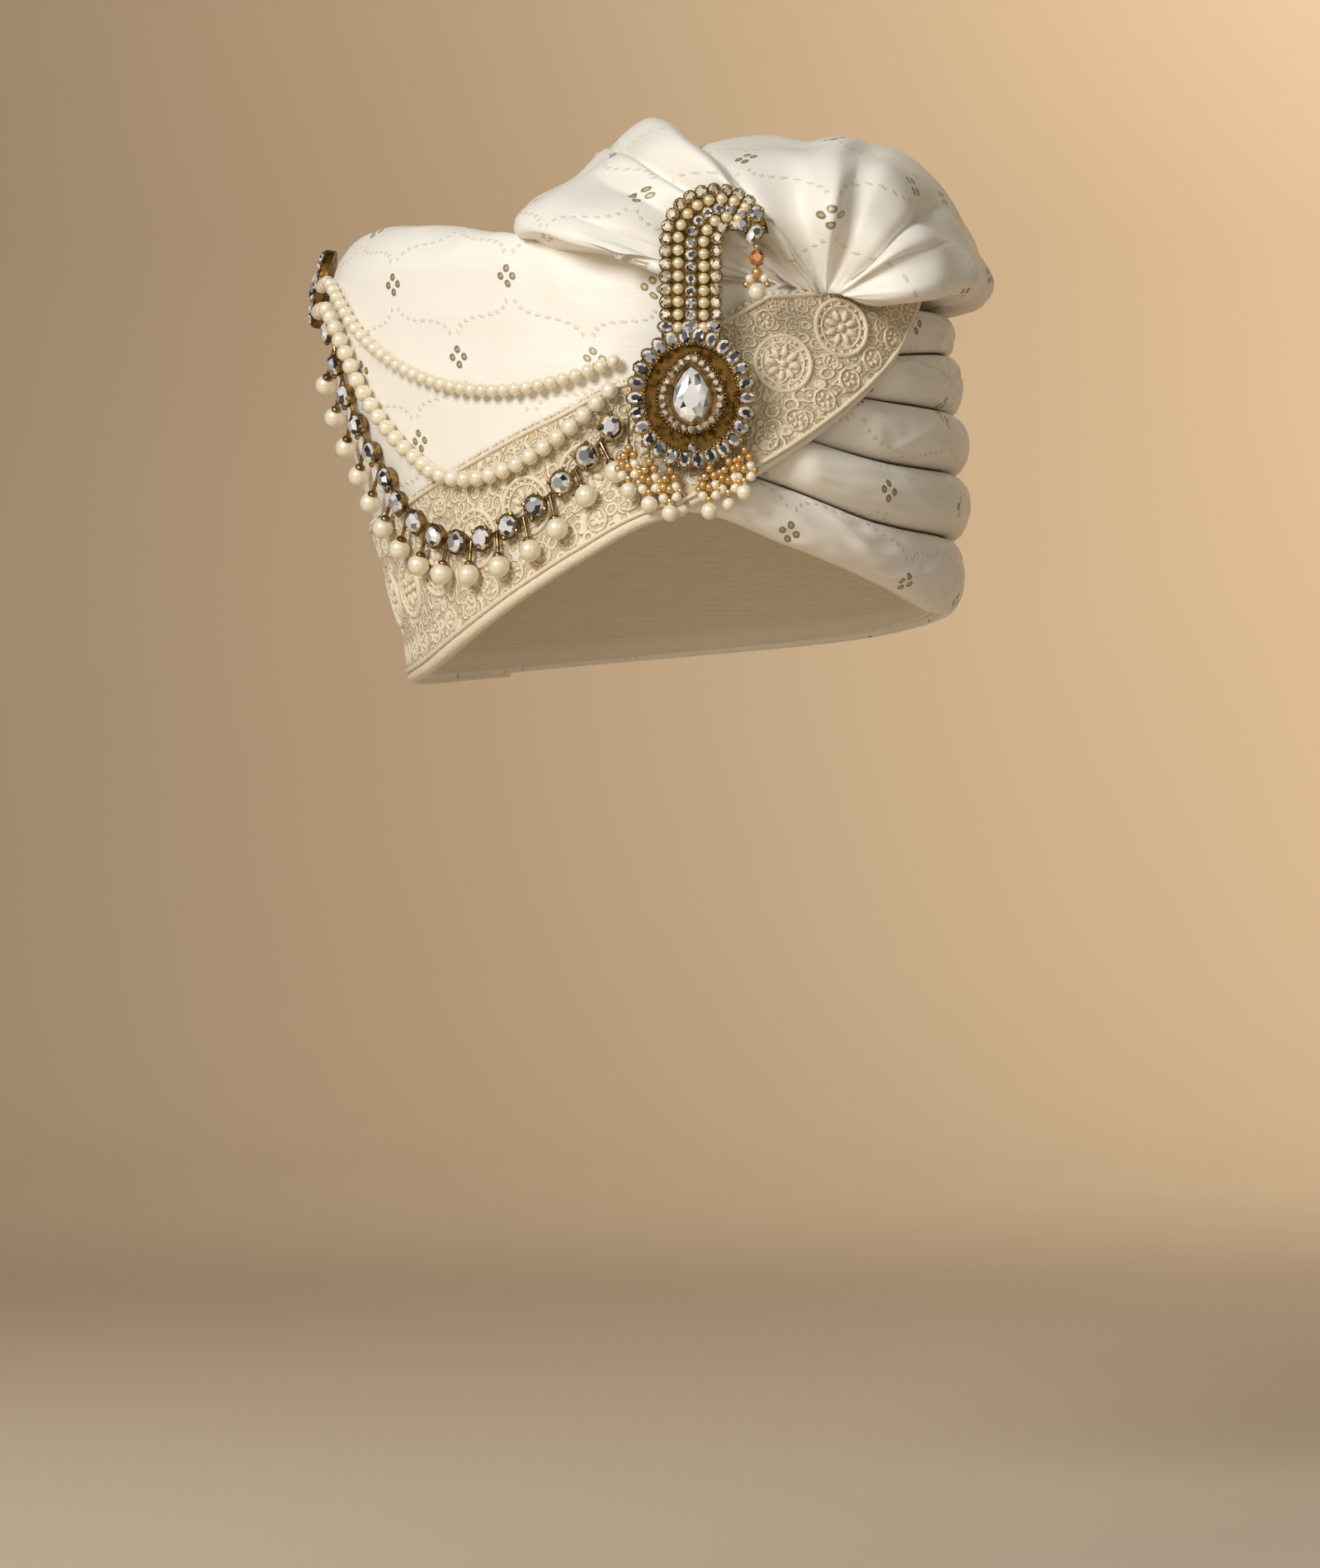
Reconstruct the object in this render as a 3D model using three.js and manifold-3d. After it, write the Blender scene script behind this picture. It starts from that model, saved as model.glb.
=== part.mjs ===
// A tied ivory turban: a hollow wound cap, a smooth front panel edged with lace, five wound rolls,
// a gathered crown, and a jewelled brooch with strands of pearls and stones.
// Millimetres, +Z up, origin at the middle of the head opening. The front faces -Y. Angles run round
// the head in degrees from the front, positive towards +X.
import * as THREE from "three";
import { mergeVertices } from "three/addons/utils/BufferGeometryUtils.js";
import Module from "manifold-3d";

const wasm = await Module();
wasm.setup();
const { clamp, degToRad, lerp, radToDeg, smoothstep } = THREE.MathUtils;

// Driving dimensions
const HEAD_HALF_WIDTH = 77.5;
const HEAD_HALF_DEPTH = 97.5;
const GAP = 0.5;
const WELD = 1e-3;

const CAP = { wall: 3, height: 114, squareness: 6, climbEase: 0.9, rimLift: 2, columns: 40, rows: 9 };

const PANEL = {
  wall: 2,
  seat: 3.6,
  flare: 27,
  flareAngle: -92,
  flareSpread: 36,
  flareFoot: -10,
  flareEase: 1.15,
  frontStandoff: 6.6,
  rearStandoff: 7.5,
  rearFrom: -138,
  rearTo: -112,
  standoffReach: 30,
  columns: 32,
  riseRows: 7,
  foldRows: 4,
  ledgeRows: 2,
};

const LACE = { wall: 1.2, gap: 0.8, width: 45, hem: 2.6, firstRib: 0.012, rows: 4 };

const ROLL = { seat: 3.6, gap: 0.6, endDepth: 2.6, taper: 15, roundness: 0.6, arc: 7, step: 7 };

const CROWN = {
  wall: 2,
  gather: { x: 42, y: -97, z: 101.5 },
  tuckLeft: { angle: 232, offset: -7, height: 105 },
  tuckRight: { angle: 98, offset: 2, height: 102.4 },
  front: -107,
  middle: 5,
  dimple: 10,
  dimpleRadius: 18,
  throat: 4,
  backDraw: 1.6,
  backRound: 0.8,
  droopPeak: 1.15,
  columns: 40,
  frontRows: 8,
  backRows: 6,
};

// Lower edge of the cloth all round: it arches over the brow and is lower on the left than the right.
const RIM = [
  { angle: -180, height: -2 },
  { angle: -135, height: -8 },
  { angle: -100, height: -11 },
  { angle: -70, height: -9.5 },
  { angle: -51, height: -0.5 },
  { angle: -21, height: 22 },
  { angle: 0, height: 35 },
  { angle: 22, height: 25.7 },
  { angle: 45, height: 15.6 },
  { angle: 66, height: 8.5 },
  { angle: 90, height: 8.5 },
  { angle: 135, height: 3 },
  { angle: 180, height: -2 },
  { angle: 225, height: -8 },
];

// The panel's free edge leaves the rim at the brow and climbs to the right over the rolls.
const DIAGONAL = [
  { angle: 0, height: 35.5 },
  { angle: 14, height: 46 },
  { angle: 27, height: 59 },
  { angle: 37, height: 71 },
  { angle: 45, height: 83 },
  { angle: 50, height: 95 },
  { angle: 53, height: 104 },
];

// Ribs of the panel, from its lower edge to its shoulder.
const RIBS = [
  { at: 0, edge: -141, shoulder: -141 },
  { at: 0.25, edge: -92, shoulder: -92 },
  { at: 0.45, edge: -54, shoulder: -60 },
  { at: 0.65, edge: -16, shoulder: -30 },
  { at: 0.8, edge: 14, shoulder: -5 },
  { at: 0.92, edge: 37, shoulder: 12 },
  { at: 1, edge: 53, shoulder: 40 },
];

// Where the panel turns inwards along its top: height of the shoulder, reach of the fold and the ledge.
const SHOULDER = [
  { angle: -141, height: 99, foldIn: 9, foldUp: 8, ledge: 7, fall: 2 },
  { angle: -115, height: 103, foldIn: 15, foldUp: 16, ledge: 20, fall: 6 },
  { angle: -92, height: 106, foldIn: 19.5, foldUp: 23, ledge: 36, fall: 10 },
  { angle: -74, height: 107, foldIn: 17, foldUp: 20.5, ledge: 34, fall: 9 },
  { angle: -58, height: 108, foldIn: 13, foldUp: 16.5, ledge: 18, fall: 6 },
  { angle: -45, height: 108, foldIn: 9, foldUp: 11.5, ledge: 7, fall: 4 },
  { angle: -36, height: 106, foldIn: 6, foldUp: 8.5, ledge: 2, fall: 2 },
  { angle: -24, height: 102, foldIn: 5, foldUp: 8, ledge: 1.5, fall: 1.5 },
  { angle: 0, height: 99, foldIn: 4, foldUp: 8, ledge: 1.5, fall: 1.5 },
  { angle: 25, height: 100, foldIn: 3, foldUp: 6, ledge: 1.5, fall: 1.5 },
  { angle: 40, height: 104, foldIn: 2, foldUp: 3, ledge: 1, fall: 1 },
];

// Heights of the grooves between the rolls, bottom to top, at five places round the head.
const GROOVE_ANGLES = { front: 15, quarter: 45, side: 90, back: 180, rear: 220 };
const GROOVES = [
  { front: 45.7, quarter: 33.8, side: 31.5, back: 19, rear: 14 },
  { front: 61, quarter: 52.2, side: 51.6, back: 40, rear: 37 },
  { front: 74, quarter: 70.3, side: 70, back: 61, rear: 59 },
  { front: 78, quarter: 83.6, side: 89, back: 82, rear: 80 },
  { front: 95, quarter: 98.5, side: 101, back: 101, rear: 99 },
];

// Each roll starts under the diagonal edge and ends under the panel's rear edge.
const ROLLS = [
  { name: "roll_1", start: -3, end: 228, bulge: 7.8 },
  { name: "roll_2", start: 12, end: 229, bulge: 9.8 },
  { name: "roll_3", start: 27, end: 229, bulge: 9.4 },
  { name: "roll_4", start: 38, end: 229, bulge: 7.4 },
  { name: "roll_5", start: 46, end: 228, bulge: 5 },
];

// Folds of the crown, left to right: outline point at mid depth, how far the fold stands forward,
// how far it droops in front, and how squarely it turns from the front to the top.
const FOLDS = [
  { x: -45, z: 116.5, lift: 0, droop: -9, square: 8 },
  { x: -50, z: 118.5, lift: 2, droop: -8, square: 8 },
  { x: -50, z: 124, lift: 3.5, droop: -6, square: 7 },
  { x: -45, z: 131, lift: 4, droop: -2, square: 5.5 },
  { x: -33, z: 139.5, lift: -1, droop: 0, square: 4 },
  { x: -25, z: 148.5, lift: 4, droop: 0, square: 3.4 },
  { x: -22, z: 150.5, lift: -5, droop: 0, square: 3.2 },
  { x: -9, z: 159.5, lift: 5, droop: 0, square: 3 },
  { x: 1, z: 156, lift: 3, droop: 0, square: 3 },
  { x: 6, z: 152.5, lift: -4, droop: 0, square: 3 },
  { x: 27, z: 153.5, lift: 1, droop: 0, square: 3 },
  { x: 38, z: 152.5, lift: 3, droop: 0, square: 3 },
  { x: 48, z: 154, lift: 1.5, droop: 0, square: 3 },
  { x: 58, z: 152.5, lift: -4.5, droop: 0, square: 2.8 },
  { x: 68, z: 150.5, lift: 4, droop: 0, square: 2.6 },
  { x: 79, z: 140.5, lift: -6, droop: 0, square: 2.4 },
  { x: 88, z: 129, lift: 5, droop: 0, square: 2.2 },
  { x: 93, z: 120, lift: -2, droop: 0, square: 2.2 },
  { x: 97, z: 110, lift: 4, droop: -3, square: 2.2 },
  { x: 93, z: 104.5, lift: 0, droop: -4, square: 2.2 },
  { x: 84, z: 104, lift: -3, droop: -4, square: 2.2 },
];

// Strands that hang over the panel from the side brooch to the main brooch.
const PEARL_STRANDS = [
  {
    name: "pearl_strand_upper",
    bead: 4.3,
    seat: 0.8,
    from: { angle: -76, height: 109 },
    to: { angle: -12, height: 80 },
    sag: 23,
    skew: 0.85,
  },
  {
    name: "pearl_strand_lower",
    bead: 5.1,
    seat: 2.5,
    from: { angle: -78.5, height: 103 },
    to: { angle: -12.5, height: 72.5 },
    sag: 41,
    skew: 0.88,
  },
];
const CHAIN = {
  from: { angle: -85, height: 94 },
  to: { angle: -13.5, height: 60 },
  sag: 48,
  skew: 0.88,
  stones: 16,
  cup: 7,
  cupHeight: 2.4,
  stone: 5.6,
  stoneHeight: 1.6,
  stoneTable: 0.6,
  pearl: 6.6,
  drop: 10,
  swing: 7,
  wire: 1,
};
const BEAD_SIDES = 5;
const BEAD_NECK = 0.4;
const CURVE_SEGMENTS = 6;
const HALO_SEGMENTS = 14;

// Main brooch, measured in its own plane from the middle of the halo.
const BROOCH = {
  x: 2.6,
  y: -111.6,
  z: 67.7,
  haloWidth: 37.5,
  haloHeight: 41,
  haloBand: 5,
  haloDepth: 2.6,
  plate: 1,
  pearWidth: 20,
  pearHeight: 23.5,
  pearDepth: 3,
  crystalWidth: 12.7,
  crystalHeight: 18.5,
  crystalDepth: 4.2,
  stemLeft: -9.1,
  stemRight: 8.8,
  stemFoot: 16,
  hookTop: 62.3,
  hookTip: 22,
  stemDepth: 2.4,
  pin: 2,
};
const FRINGE = [
  { x: -15.6, pearl: 41, size: 4.8 },
  { x: -9.6, pearl: 37, size: 5 },
  { x: -3.6, pearl: 34.4, size: 5 },
  { x: 7.8, pearl: 35, size: 5 },
  { x: 13.4, pearl: 37, size: 3.8 },
  { x: 18, pearl: 40.4, size: 4.8 },
];
const HOOK_DROP = { x: 21.6, top: 113.6, bottom: 96.6, widest: 5 };
const SIDE_BROOCH = { angle: -97, height: 110, width: 17, tall: 25, depth: 4 };

const cloth = () => new THREE.MeshStandardMaterial({ color: 0xf6efdf, roughness: 0.75, metalness: 0 });
const lace = () => new THREE.MeshStandardMaterial({ color: 0xe6d2a8, roughness: 0.85, metalness: 0 });
const gold = () => new THREE.MeshStandardMaterial({ color: 0x8a6a34, roughness: 0.35, metalness: 1 });
const pearl = () => new THREE.MeshStandardMaterial({ color: 0xf3e7c9, roughness: 0.25, metalness: 0 });
const glass = () => new THREE.MeshStandardMaterial({ color: 0xf2f2f0, roughness: 0.05, metalness: 0 });

const turban = new THREE.Group();

function addMesh(name, geometry, material, parent = turban) {
  const mesh = new THREE.Mesh(geometry, material);
  mesh.name = name;
  parent.add(mesh);
  return mesh;
}

// One column of a table at a place between its rows, on a smooth curve through them.
function read(table, key, column, place) {
  const last = table.length - 1;
  const at = clamp(place, table[0][key], table[last][key]);
  let row = 0;
  while (row < last - 1 && table[row + 1][key] < at) row += 1;
  const slope = (index) => {
    const before = table[Math.max(index - 1, 0)];
    const after = table[Math.min(index + 1, last)];
    return (after[column] - before[column]) / (after[key] - before[key]);
  };
  const low = table[row];
  const high = table[row + 1];
  const width = high[key] - low[key];
  const t = (at - low[key]) / width;
  const rise = high[column] - low[column];
  const bendLow = slope(row) * width - rise;
  const bendHigh = rise - slope(row + 1) * width;
  return low[column] + rise * t + t * (1 - t) * (bendLow * (1 - t) + bendHigh * t);
}

// A closed body from points and triangles: corners welded, empty triangles dropped, faces turned out.
function closedBody(points, triangles) {
  const loose = new THREE.BufferGeometry().setFromPoints(points);
  loose.setIndex(triangles);
  const welded = mergeVertices(loose, WELD);
  const corners = welded.index.array;
  const place = welded.attributes.position;
  const kept = [];
  let volume = 0;
  for (let first = 0; first < corners.length; first += 3) {
    const [a, b, c] = corners.subarray(first, first + 3);
    if (a === b || b === c || c === a) continue;
    kept.push([a, b, c]);
    const at = [a, b, c].map((corner) => new THREE.Vector3().fromBufferAttribute(place, corner));
    volume += at[0].dot(at[1].cross(at[2]));
  }
  const turned = volume < 0 ? kept.map(([a, b, c]) => [a, c, b]) : kept;
  welded.setIndex(turned.flat());
  return welded;
}

// A wall between an outer and an inner surface, each given over the unit square.
function wall(columns, rows, outer, inner, closed = false) {
  const points = [];
  for (const surface of [outer, inner]) {
    for (let column = 0; column <= columns; column += 1) {
      for (let row = 0; row <= rows; row += 1) points.push(surface(column / columns, row / rows));
    }
  }
  const at = (side, column, row) => (side * (columns + 1) + column) * (rows + 1) + row;
  const triangles = [];
  const quad = (a, b, c, d) => triangles.push(a, b, c, a, c, d);
  for (let c = 0; c < columns; c += 1) {
    for (let r = 0; r < rows; r += 1) {
      quad(at(0, c, r), at(0, c + 1, r), at(0, c + 1, r + 1), at(0, c, r + 1));
      quad(at(1, c, r), at(1, c, r + 1), at(1, c + 1, r + 1), at(1, c + 1, r));
    }
    quad(at(0, c, 0), at(1, c, 0), at(1, c + 1, 0), at(0, c + 1, 0));
    quad(at(0, c, rows), at(0, c + 1, rows), at(1, c + 1, rows), at(1, c, rows));
  }
  for (let r = 0; r < rows && !closed; r += 1) {
    quad(at(0, 0, r), at(0, 0, r + 1), at(1, 0, r + 1), at(1, 0, r));
    quad(at(0, columns, r), at(1, columns, r), at(1, columns, r + 1), at(0, columns, r + 1));
  }
  return closedBody(points, triangles);
}

// A solid through a row of rings, closed by a fan at each end.
function sweep(rings) {
  const sides = rings[0].length;
  const points = rings.flat();
  const triangles = [];
  for (let ring = 0; ring < rings.length - 1; ring += 1) {
    for (let side = 0; side < sides; side += 1) {
      const next = (side + 1) % sides;
      const a = ring * sides + side;
      const b = ring * sides + next;
      triangles.push(a, b, b + sides, a, b + sides, a + sides);
    }
  }
  for (const last of [false, true]) {
    const first = last ? (rings.length - 1) * sides : 0;
    const ring = last ? rings[rings.length - 1] : rings[0];
    const middle = ring.reduce((sum, point) => sum.add(point), new THREE.Vector3());
    const centre = points.push(middle.divideScalar(sides)) - 1;
    for (let side = 0; side < sides; side += 1) {
      const here = first + side;
      const next = first + ((side + 1) % sides);
      triangles.push(centre, last ? here : next, last ? next : here);
    }
  }
  return closedBody(points, triangles);
}

// The same for a geometry with loose or doubled corners.
function closedGeometry(geometry) {
  const place = geometry.attributes.position;
  const points = Array.from({ length: place.count }, (_, corner) =>
    new THREE.Vector3().fromBufferAttribute(place, corner),
  );
  const triangles = geometry.index ? [...geometry.index.array] : points.map((_, corner) => corner);
  return closedBody(points, triangles);
}

// A closed geometry as a solid that can be joined and cut.
function asSolid(geometry) {
  const vertProperties = geometry.attributes.position.array;
  const triVerts = new Uint32Array(geometry.index.array);
  return new wasm.Manifold(new wasm.Mesh({ numProp: 3, vertProperties, triVerts }));
}

// Joins closed geometries into one solid and cuts others out of it.
function join(geometries, cuts = []) {
  const whole = geometries.map(asSolid).reduce((sum, solid) => sum.add(solid));
  const made = cuts.map(asSolid).reduce((rest, solid) => rest.subtract(solid), whole).getMesh();
  const geometry = new THREE.BufferGeometry();
  geometry.setAttribute("position", new THREE.BufferAttribute(made.vertProperties, 3));
  geometry.setIndex(new THREE.BufferAttribute(made.triVerts, 1));
  return geometry;
}

// A place round the head: an ellipse that grows by an offset, at a height.
function around(angle, offset, height) {
  const turn = degToRad(angle);
  const x = (HEAD_HALF_WIDTH + offset) * Math.sin(turn);
  const y = -(HEAD_HALF_DEPTH + offset) * Math.cos(turn);
  return new THREE.Vector3(x, y, height);
}

const rimHeight = (angle) => read(RIM, "angle", "height", angle);

// Under wrap: a near-upright wall that closes in a flat dome.
function capPoint(across, up, grow) {
  const angle = lerp(-180, 180, across);
  const rim = rimHeight(angle) + CAP.rimLift;
  const top = CAP.height - CAP.wall + grow;
  const turn = (up * Math.PI) / 2;
  const climb = up === 1 ? 1 : Math.sin(turn) ** CAP.climbEase;
  const height = lerp(rim, top, climb);
  const share = clamp(height / top, 0, 1);
  const shrink = up === 1 ? 0 : (1 - share ** CAP.squareness) ** (1 / CAP.squareness);
  const place = around(angle, grow, height);
  place.x *= shrink;
  place.y *= shrink;
  return place;
}

function addUnderWrap() {
  const outer = (across, up) => capPoint(across, up, CAP.wall);
  const inner = (across, up) => capPoint(across, up, 0);
  addMesh("under_wrap", wall(CAP.columns, CAP.rows, outer, inner, true), cloth());
}

// Front panel
const shoulder = (column, angle) => read(SHOULDER, "angle", column, angle);
const ribAngle = (column, along) => read(RIBS, "at", column, along);
const panelEdge = (angle) => (angle <= 0 ? rimHeight(angle) : read(DIAGONAL, "angle", "height", angle));
const diagonalAngle = (height) => read(DIAGONAL, "height", "angle", height);

// How far the panel's outer face stands off the head at a place below its shoulder.
function panelRise(angle, height) {
  const climb = clamp((height - PANEL.flareFoot) / (shoulder("height", angle) - PANEL.flareFoot), 0, 1);
  const spread = (angle - PANEL.flareAngle) / PANEL.flareSpread;
  const flare = PANEL.flare * Math.exp(-(spread ** 2)) * Math.sin((climb * Math.PI) / 2) ** PANEL.flareEase;
  const toEdge = clamp(diagonalAngle(height) - angle, 0, 90);
  const front = PANEL.frontStandoff * (1 - smoothstep(toEdge, 0, PANEL.standoffReach));
  const rear = PANEL.rearStandoff * (1 - smoothstep(angle, PANEL.rearFrom, PANEL.rearTo));
  return PANEL.seat + PANEL.wall + flare + front + rear;
}

// Outer face at any height up to the ridge, with the fold included.
function panelOffset(angle, height) {
  const above = height - shoulder("height", angle);
  if (above <= 0) return panelRise(angle, height);
  const share = clamp(above / shoulder("foldUp", angle), 0, 1);
  const turnedIn = shoulder("foldIn", angle) * (1 - Math.sqrt(1 - share ** 2));
  return panelRise(angle, shoulder("height", angle)) - turnedIn;
}

// Angle, offset and height along a rib: the rise, the fold over the top and the ledge behind it.
function panelSection(along, step) {
  const foot = ribAngle("edge", along);
  const top = ribAngle("shoulder", along);
  const crest = shoulder("height", top);
  if (step <= PANEL.riseRows) {
    const up = step / PANEL.riseRows;
    const angle = lerp(foot, top, up);
    const height = lerp(panelEdge(foot), crest, up);
    return { angle, height, offset: panelRise(angle, height) };
  }
  const turn = Math.min((step - PANEL.riseRows) / PANEL.foldRows, 1) * (Math.PI / 2);
  const back = Math.max(step - PANEL.riseRows - PANEL.foldRows, 0) / PANEL.ledgeRows;
  const turnedIn = shoulder("foldIn", top) * (1 - Math.cos(turn)) + shoulder("ledge", top) * back;
  const height = crest + shoulder("foldUp", top) * Math.sin(turn) - shoulder("fall", top) * back ** 2;
  return { angle: top, height, offset: panelRise(top, crest) - turnedIn };
}

const PANEL_ROWS = PANEL.riseRows + PANEL.foldRows + PANEL.ledgeRows;

function panelPoint(along, step) {
  const { angle, offset, height } = panelSection(along, step);
  return around(angle, offset, height);
}

// A surface shifted along its own normal, worked out from its neighbours.
function shifted(surface, u, v, distance, nudge = 1e-3) {
  const du = surface(Math.min(u + nudge, 1), v).sub(surface(Math.max(u - nudge, 0), v));
  const dv = surface(u, Math.min(v + nudge, 1)).sub(surface(u, Math.max(v - nudge, 0)));
  const normal = du.cross(dv).normalize();
  return surface(u, v).addScaledVector(normal, distance);
}

function addFrontPanel() {
  const outer = (along, up) => panelPoint(along, up * PANEL_ROWS);
  const inner = (along, up) => shifted(outer, along, up, -PANEL.wall);
  addMesh("front_panel", wall(PANEL.columns, PANEL_ROWS, outer, inner), cloth());
}

function ribLength(along) {
  let length = 0;
  for (let step = 0; step < PANEL.riseRows; step += 1) {
    length += panelPoint(along, step).distanceTo(panelPoint(along, step + 1));
  }
  return length;
}

function addLaceBand() {
  const face = (across, up) => {
    const along = lerp(LACE.firstRib, 1, across);
    const long = ribLength(along);
    const reach = Math.min(LACE.width, long) / long;
    return panelPoint(along, lerp(LACE.hem / long, reach, up) * PANEL.riseRows);
  };
  const inner = (across, up) => shifted(face, across, up, LACE.gap);
  const outer = (across, up) => shifted(face, across, up, LACE.gap + LACE.wall);
  addMesh("lace_band", wall(PANEL.columns, LACE.rows, outer, inner), lace());
}

// Rolls
const GROOVE_PLACES = Object.keys(GROOVE_ANGLES);

function grooveHeight(groove, angle) {
  if (groove < 0) return rimHeight(angle);
  const rows = GROOVE_PLACES.map((place) => ({
    angle: GROOVE_ANGLES[place],
    height: GROOVES[groove][place],
  }));
  return read(rows, "angle", "height", angle);
}

function rollRing(roll, index, angle) {
  const low = grooveHeight(index - 1, angle) + ROLL.gap / 2;
  const high = grooveHeight(index, angle) - ROLL.gap / 2;
  const fromEnd = Math.min(angle - roll.start, roll.end - angle);
  const depth = lerp(ROLL.endDepth, roll.bulge, smoothstep(fromEnd, 2, ROLL.taper));
  const ring = [];
  for (let step = 0; step <= ROLL.arc; step += 1) {
    const turn = lerp(-Math.PI / 2, Math.PI / 2, step / ROLL.arc);
    const height = lerp(low, high, (Math.sin(turn) + 1) / 2);
    const out = step % ROLL.arc === 0 ? 0 : Math.cos(turn) ** ROLL.roundness;
    ring.push(around(angle, ROLL.seat + depth * out, height));
  }
  return ring;
}

function addRolls() {
  ROLLS.forEach((roll, index) => {
    const steps = Math.round((roll.end - roll.start) / ROLL.step);
    const rings = [];
    for (let step = 0; step <= steps; step += 1) {
      rings.push(rollRing(roll, index, lerp(roll.start, roll.end, step / steps)));
    }
    addMesh(roll.name, sweep(rings), cloth());
  });
}

// Crown: each fold runs from the gather in front, over its outline point, to the tuck at the back.
const FOLD_ROWS = FOLDS.map((fold, index) => ({ ...fold, at: index / (FOLDS.length - 1) }));
const fold = (column, across) => read(FOLD_ROWS, "at", column, across);

// Where a fold is tucked in along the inside of the top roll.
function tuckPoint(across) {
  const { tuckLeft, tuckRight } = CROWN;
  const fromLeft = smoothstep(across, 0, 0.25);
  const angle = lerp(tuckLeft.angle, tuckRight.angle, across);
  const offset = lerp(tuckLeft.offset, tuckRight.offset, fromLeft);
  return around(angle, offset, lerp(tuckLeft.height, tuckRight.height, fromLeft));
}

// From the gather in front to the fold's outline point.
function crownFront(across, share) {
  const { gather } = CROWN;
  const x = fold("x", across);
  const z = fold("z", across);
  const turn = share * (Math.PI / 2);
  const power = 2 / fold("square", across);
  const length = Math.hypot(x - gather.x, z - gather.z);
  const reach = lerp(CROWN.throat / length, 1, Math.sin(turn) ** power);
  const depth = Math.max(Math.cos(turn), 0) ** power;
  const sunk = CROWN.dimple * Math.exp(-(((reach * length) / CROWN.dimpleRadius) ** 2));
  const stand = fold("lift", across) * Math.sin(reach * Math.PI) * depth;
  const droop = fold("droop", across) * Math.sin(Math.min(reach * CROWN.droopPeak, 1) * Math.PI);
  const y = lerp(CROWN.middle, CROWN.front, depth) + sunk - stand;
  return new THREE.Vector3(lerp(gather.x, x, reach), y, lerp(gather.z, z, reach) + droop);
}

// From the outline point over the back to the tuck.
function crownBack(across, share) {
  const turn = share * (Math.PI / 2);
  const end = tuckPoint(across);
  const onward = Math.sin(turn);
  const x = lerp(fold("x", across), end.x, onward ** CROWN.backDraw);
  const y = lerp(CROWN.middle, end.y, onward);
  const z = lerp(end.z, fold("z", across), Math.max(Math.cos(turn), 0) ** CROWN.backRound);
  return new THREE.Vector3(x, y, z);
}

function crownPoint(across, along) {
  const split = CROWN.frontRows / (CROWN.frontRows + CROWN.backRows);
  if (along <= split) return crownFront(across, along / split);
  return crownBack(across, (along - split) / (1 - split));
}

function addCrown() {
  const rows = CROWN.frontRows + CROWN.backRows;
  const inner = (across, along) => shifted(crownPoint, across, along, -CROWN.wall);
  addMesh("crown_puff", wall(CROWN.columns, rows, crownPoint, inner), cloth());
}

// A place on the panel with the directions out of it and down along it.
function panelFrame(angle, height, lift) {
  const nudge = 0.5;
  const at = (a, h) => around(a, panelOffset(a, h), h);
  const sideways = at(angle + nudge, height).sub(at(angle - nudge, height));
  const down = at(angle, height - nudge).sub(at(angle, height + nudge)).normalize();
  const out = down.clone().cross(sideways).normalize();
  return { angle, height, out, down, point: at(angle, height).addScaledVector(out, lift) };
}

const STRAND_SEAT = LACE.gap + LACE.wall + GAP;

function strandPlace(strand, share, lift) {
  const angle = lerp(strand.from.angle, strand.to.angle, share);
  const bowed = share ** strand.skew;
  const height = lerp(strand.from.height, strand.to.height, share) - strand.sag * 4 * bowed * (1 - bowed);
  return panelFrame(angle, height, lift);
}

// Places along a strand at even distances.
function strandPlaces(strand, lift, count) {
  const fine = 400;
  const samples = [];
  for (let step = 0; step <= fine; step += 1) samples.push(strandPlace(strand, step / fine, lift));
  const travelled = [0];
  for (let step = 1; step <= fine; step += 1) {
    travelled.push(travelled[step - 1] + samples[step].point.distanceTo(samples[step - 1].point));
  }
  const length = travelled[fine];
  const total = typeof count === "function" ? count(length) : count;
  const places = [];
  let step = 0;
  for (let index = 0; index < total; index += 1) {
    const goal = (length * index) / (total - 1);
    while (step < fine && travelled[step] < goal) step += 1;
    places.push(samples[step]);
  }
  return places;
}

// A string of beads as one solid: full rings at each bead, thin ones between.
function addPearlStrand(strand) {
  const radius = strand.bead / 2;
  const ringsPerBead = 3;
  const count = (length) => Math.floor(length / strand.bead) * ringsPerBead + 1;
  const places = strandPlaces(strand, strand.seat + radius, count);
  const rings = places.map((place, index) => {
    const before = places[Math.max(index - 1, 0)].point;
    const after = places[Math.min(index + 1, places.length - 1)].point;
    const ahead = after.clone().sub(before).normalize();
    const side = ahead.clone().cross(place.out).normalize();
    const up = side.clone().cross(ahead);
    const reach = radius * (index % ringsPerBead === 0 ? BEAD_NECK : 1);
    const ring = [];
    for (let corner = 0; corner < BEAD_SIDES; corner += 1) {
      const turn = (corner / BEAD_SIDES) * 2 * Math.PI;
      const point = place.point.clone().addScaledVector(side, reach * Math.cos(turn));
      ring.push(point.addScaledVector(up, reach * Math.sin(turn)));
    }
    return ring;
  });
  addMesh(strand.name, sweep(rings), pearl());
}

const upAxis = new THREE.Vector3(0, 1, 0);

// A turned shape whose axis points along a direction.
function turned(profile, sides, position, direction) {
  const geometry = new THREE.LatheGeometry(
    profile.map(([radius, height]) => new THREE.Vector2(radius, height)),
    sides,
  );
  geometry.applyQuaternion(new THREE.Quaternion().setFromUnitVectors(upAxis, direction));
  geometry.translate(position.x, position.y, position.z);
  return closedGeometry(geometry);
}

function rod(from, to, radius, sides = 4) {
  const along = to.clone().sub(from);
  const profile = [[0, 0], [radius, 0], [radius, along.length()], [0, along.length()]];
  return turned(profile, sides, from, along.normalize());
}

const ballProfile = (radius, steps = 6) =>
  Array.from({ length: steps + 1 }, (_, step) => {
    const turn = (step / steps) * Math.PI;
    const across = step % steps === 0 ? 0 : radius * Math.sin(turn);
    return [across, -radius * Math.cos(turn)];
  });

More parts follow.
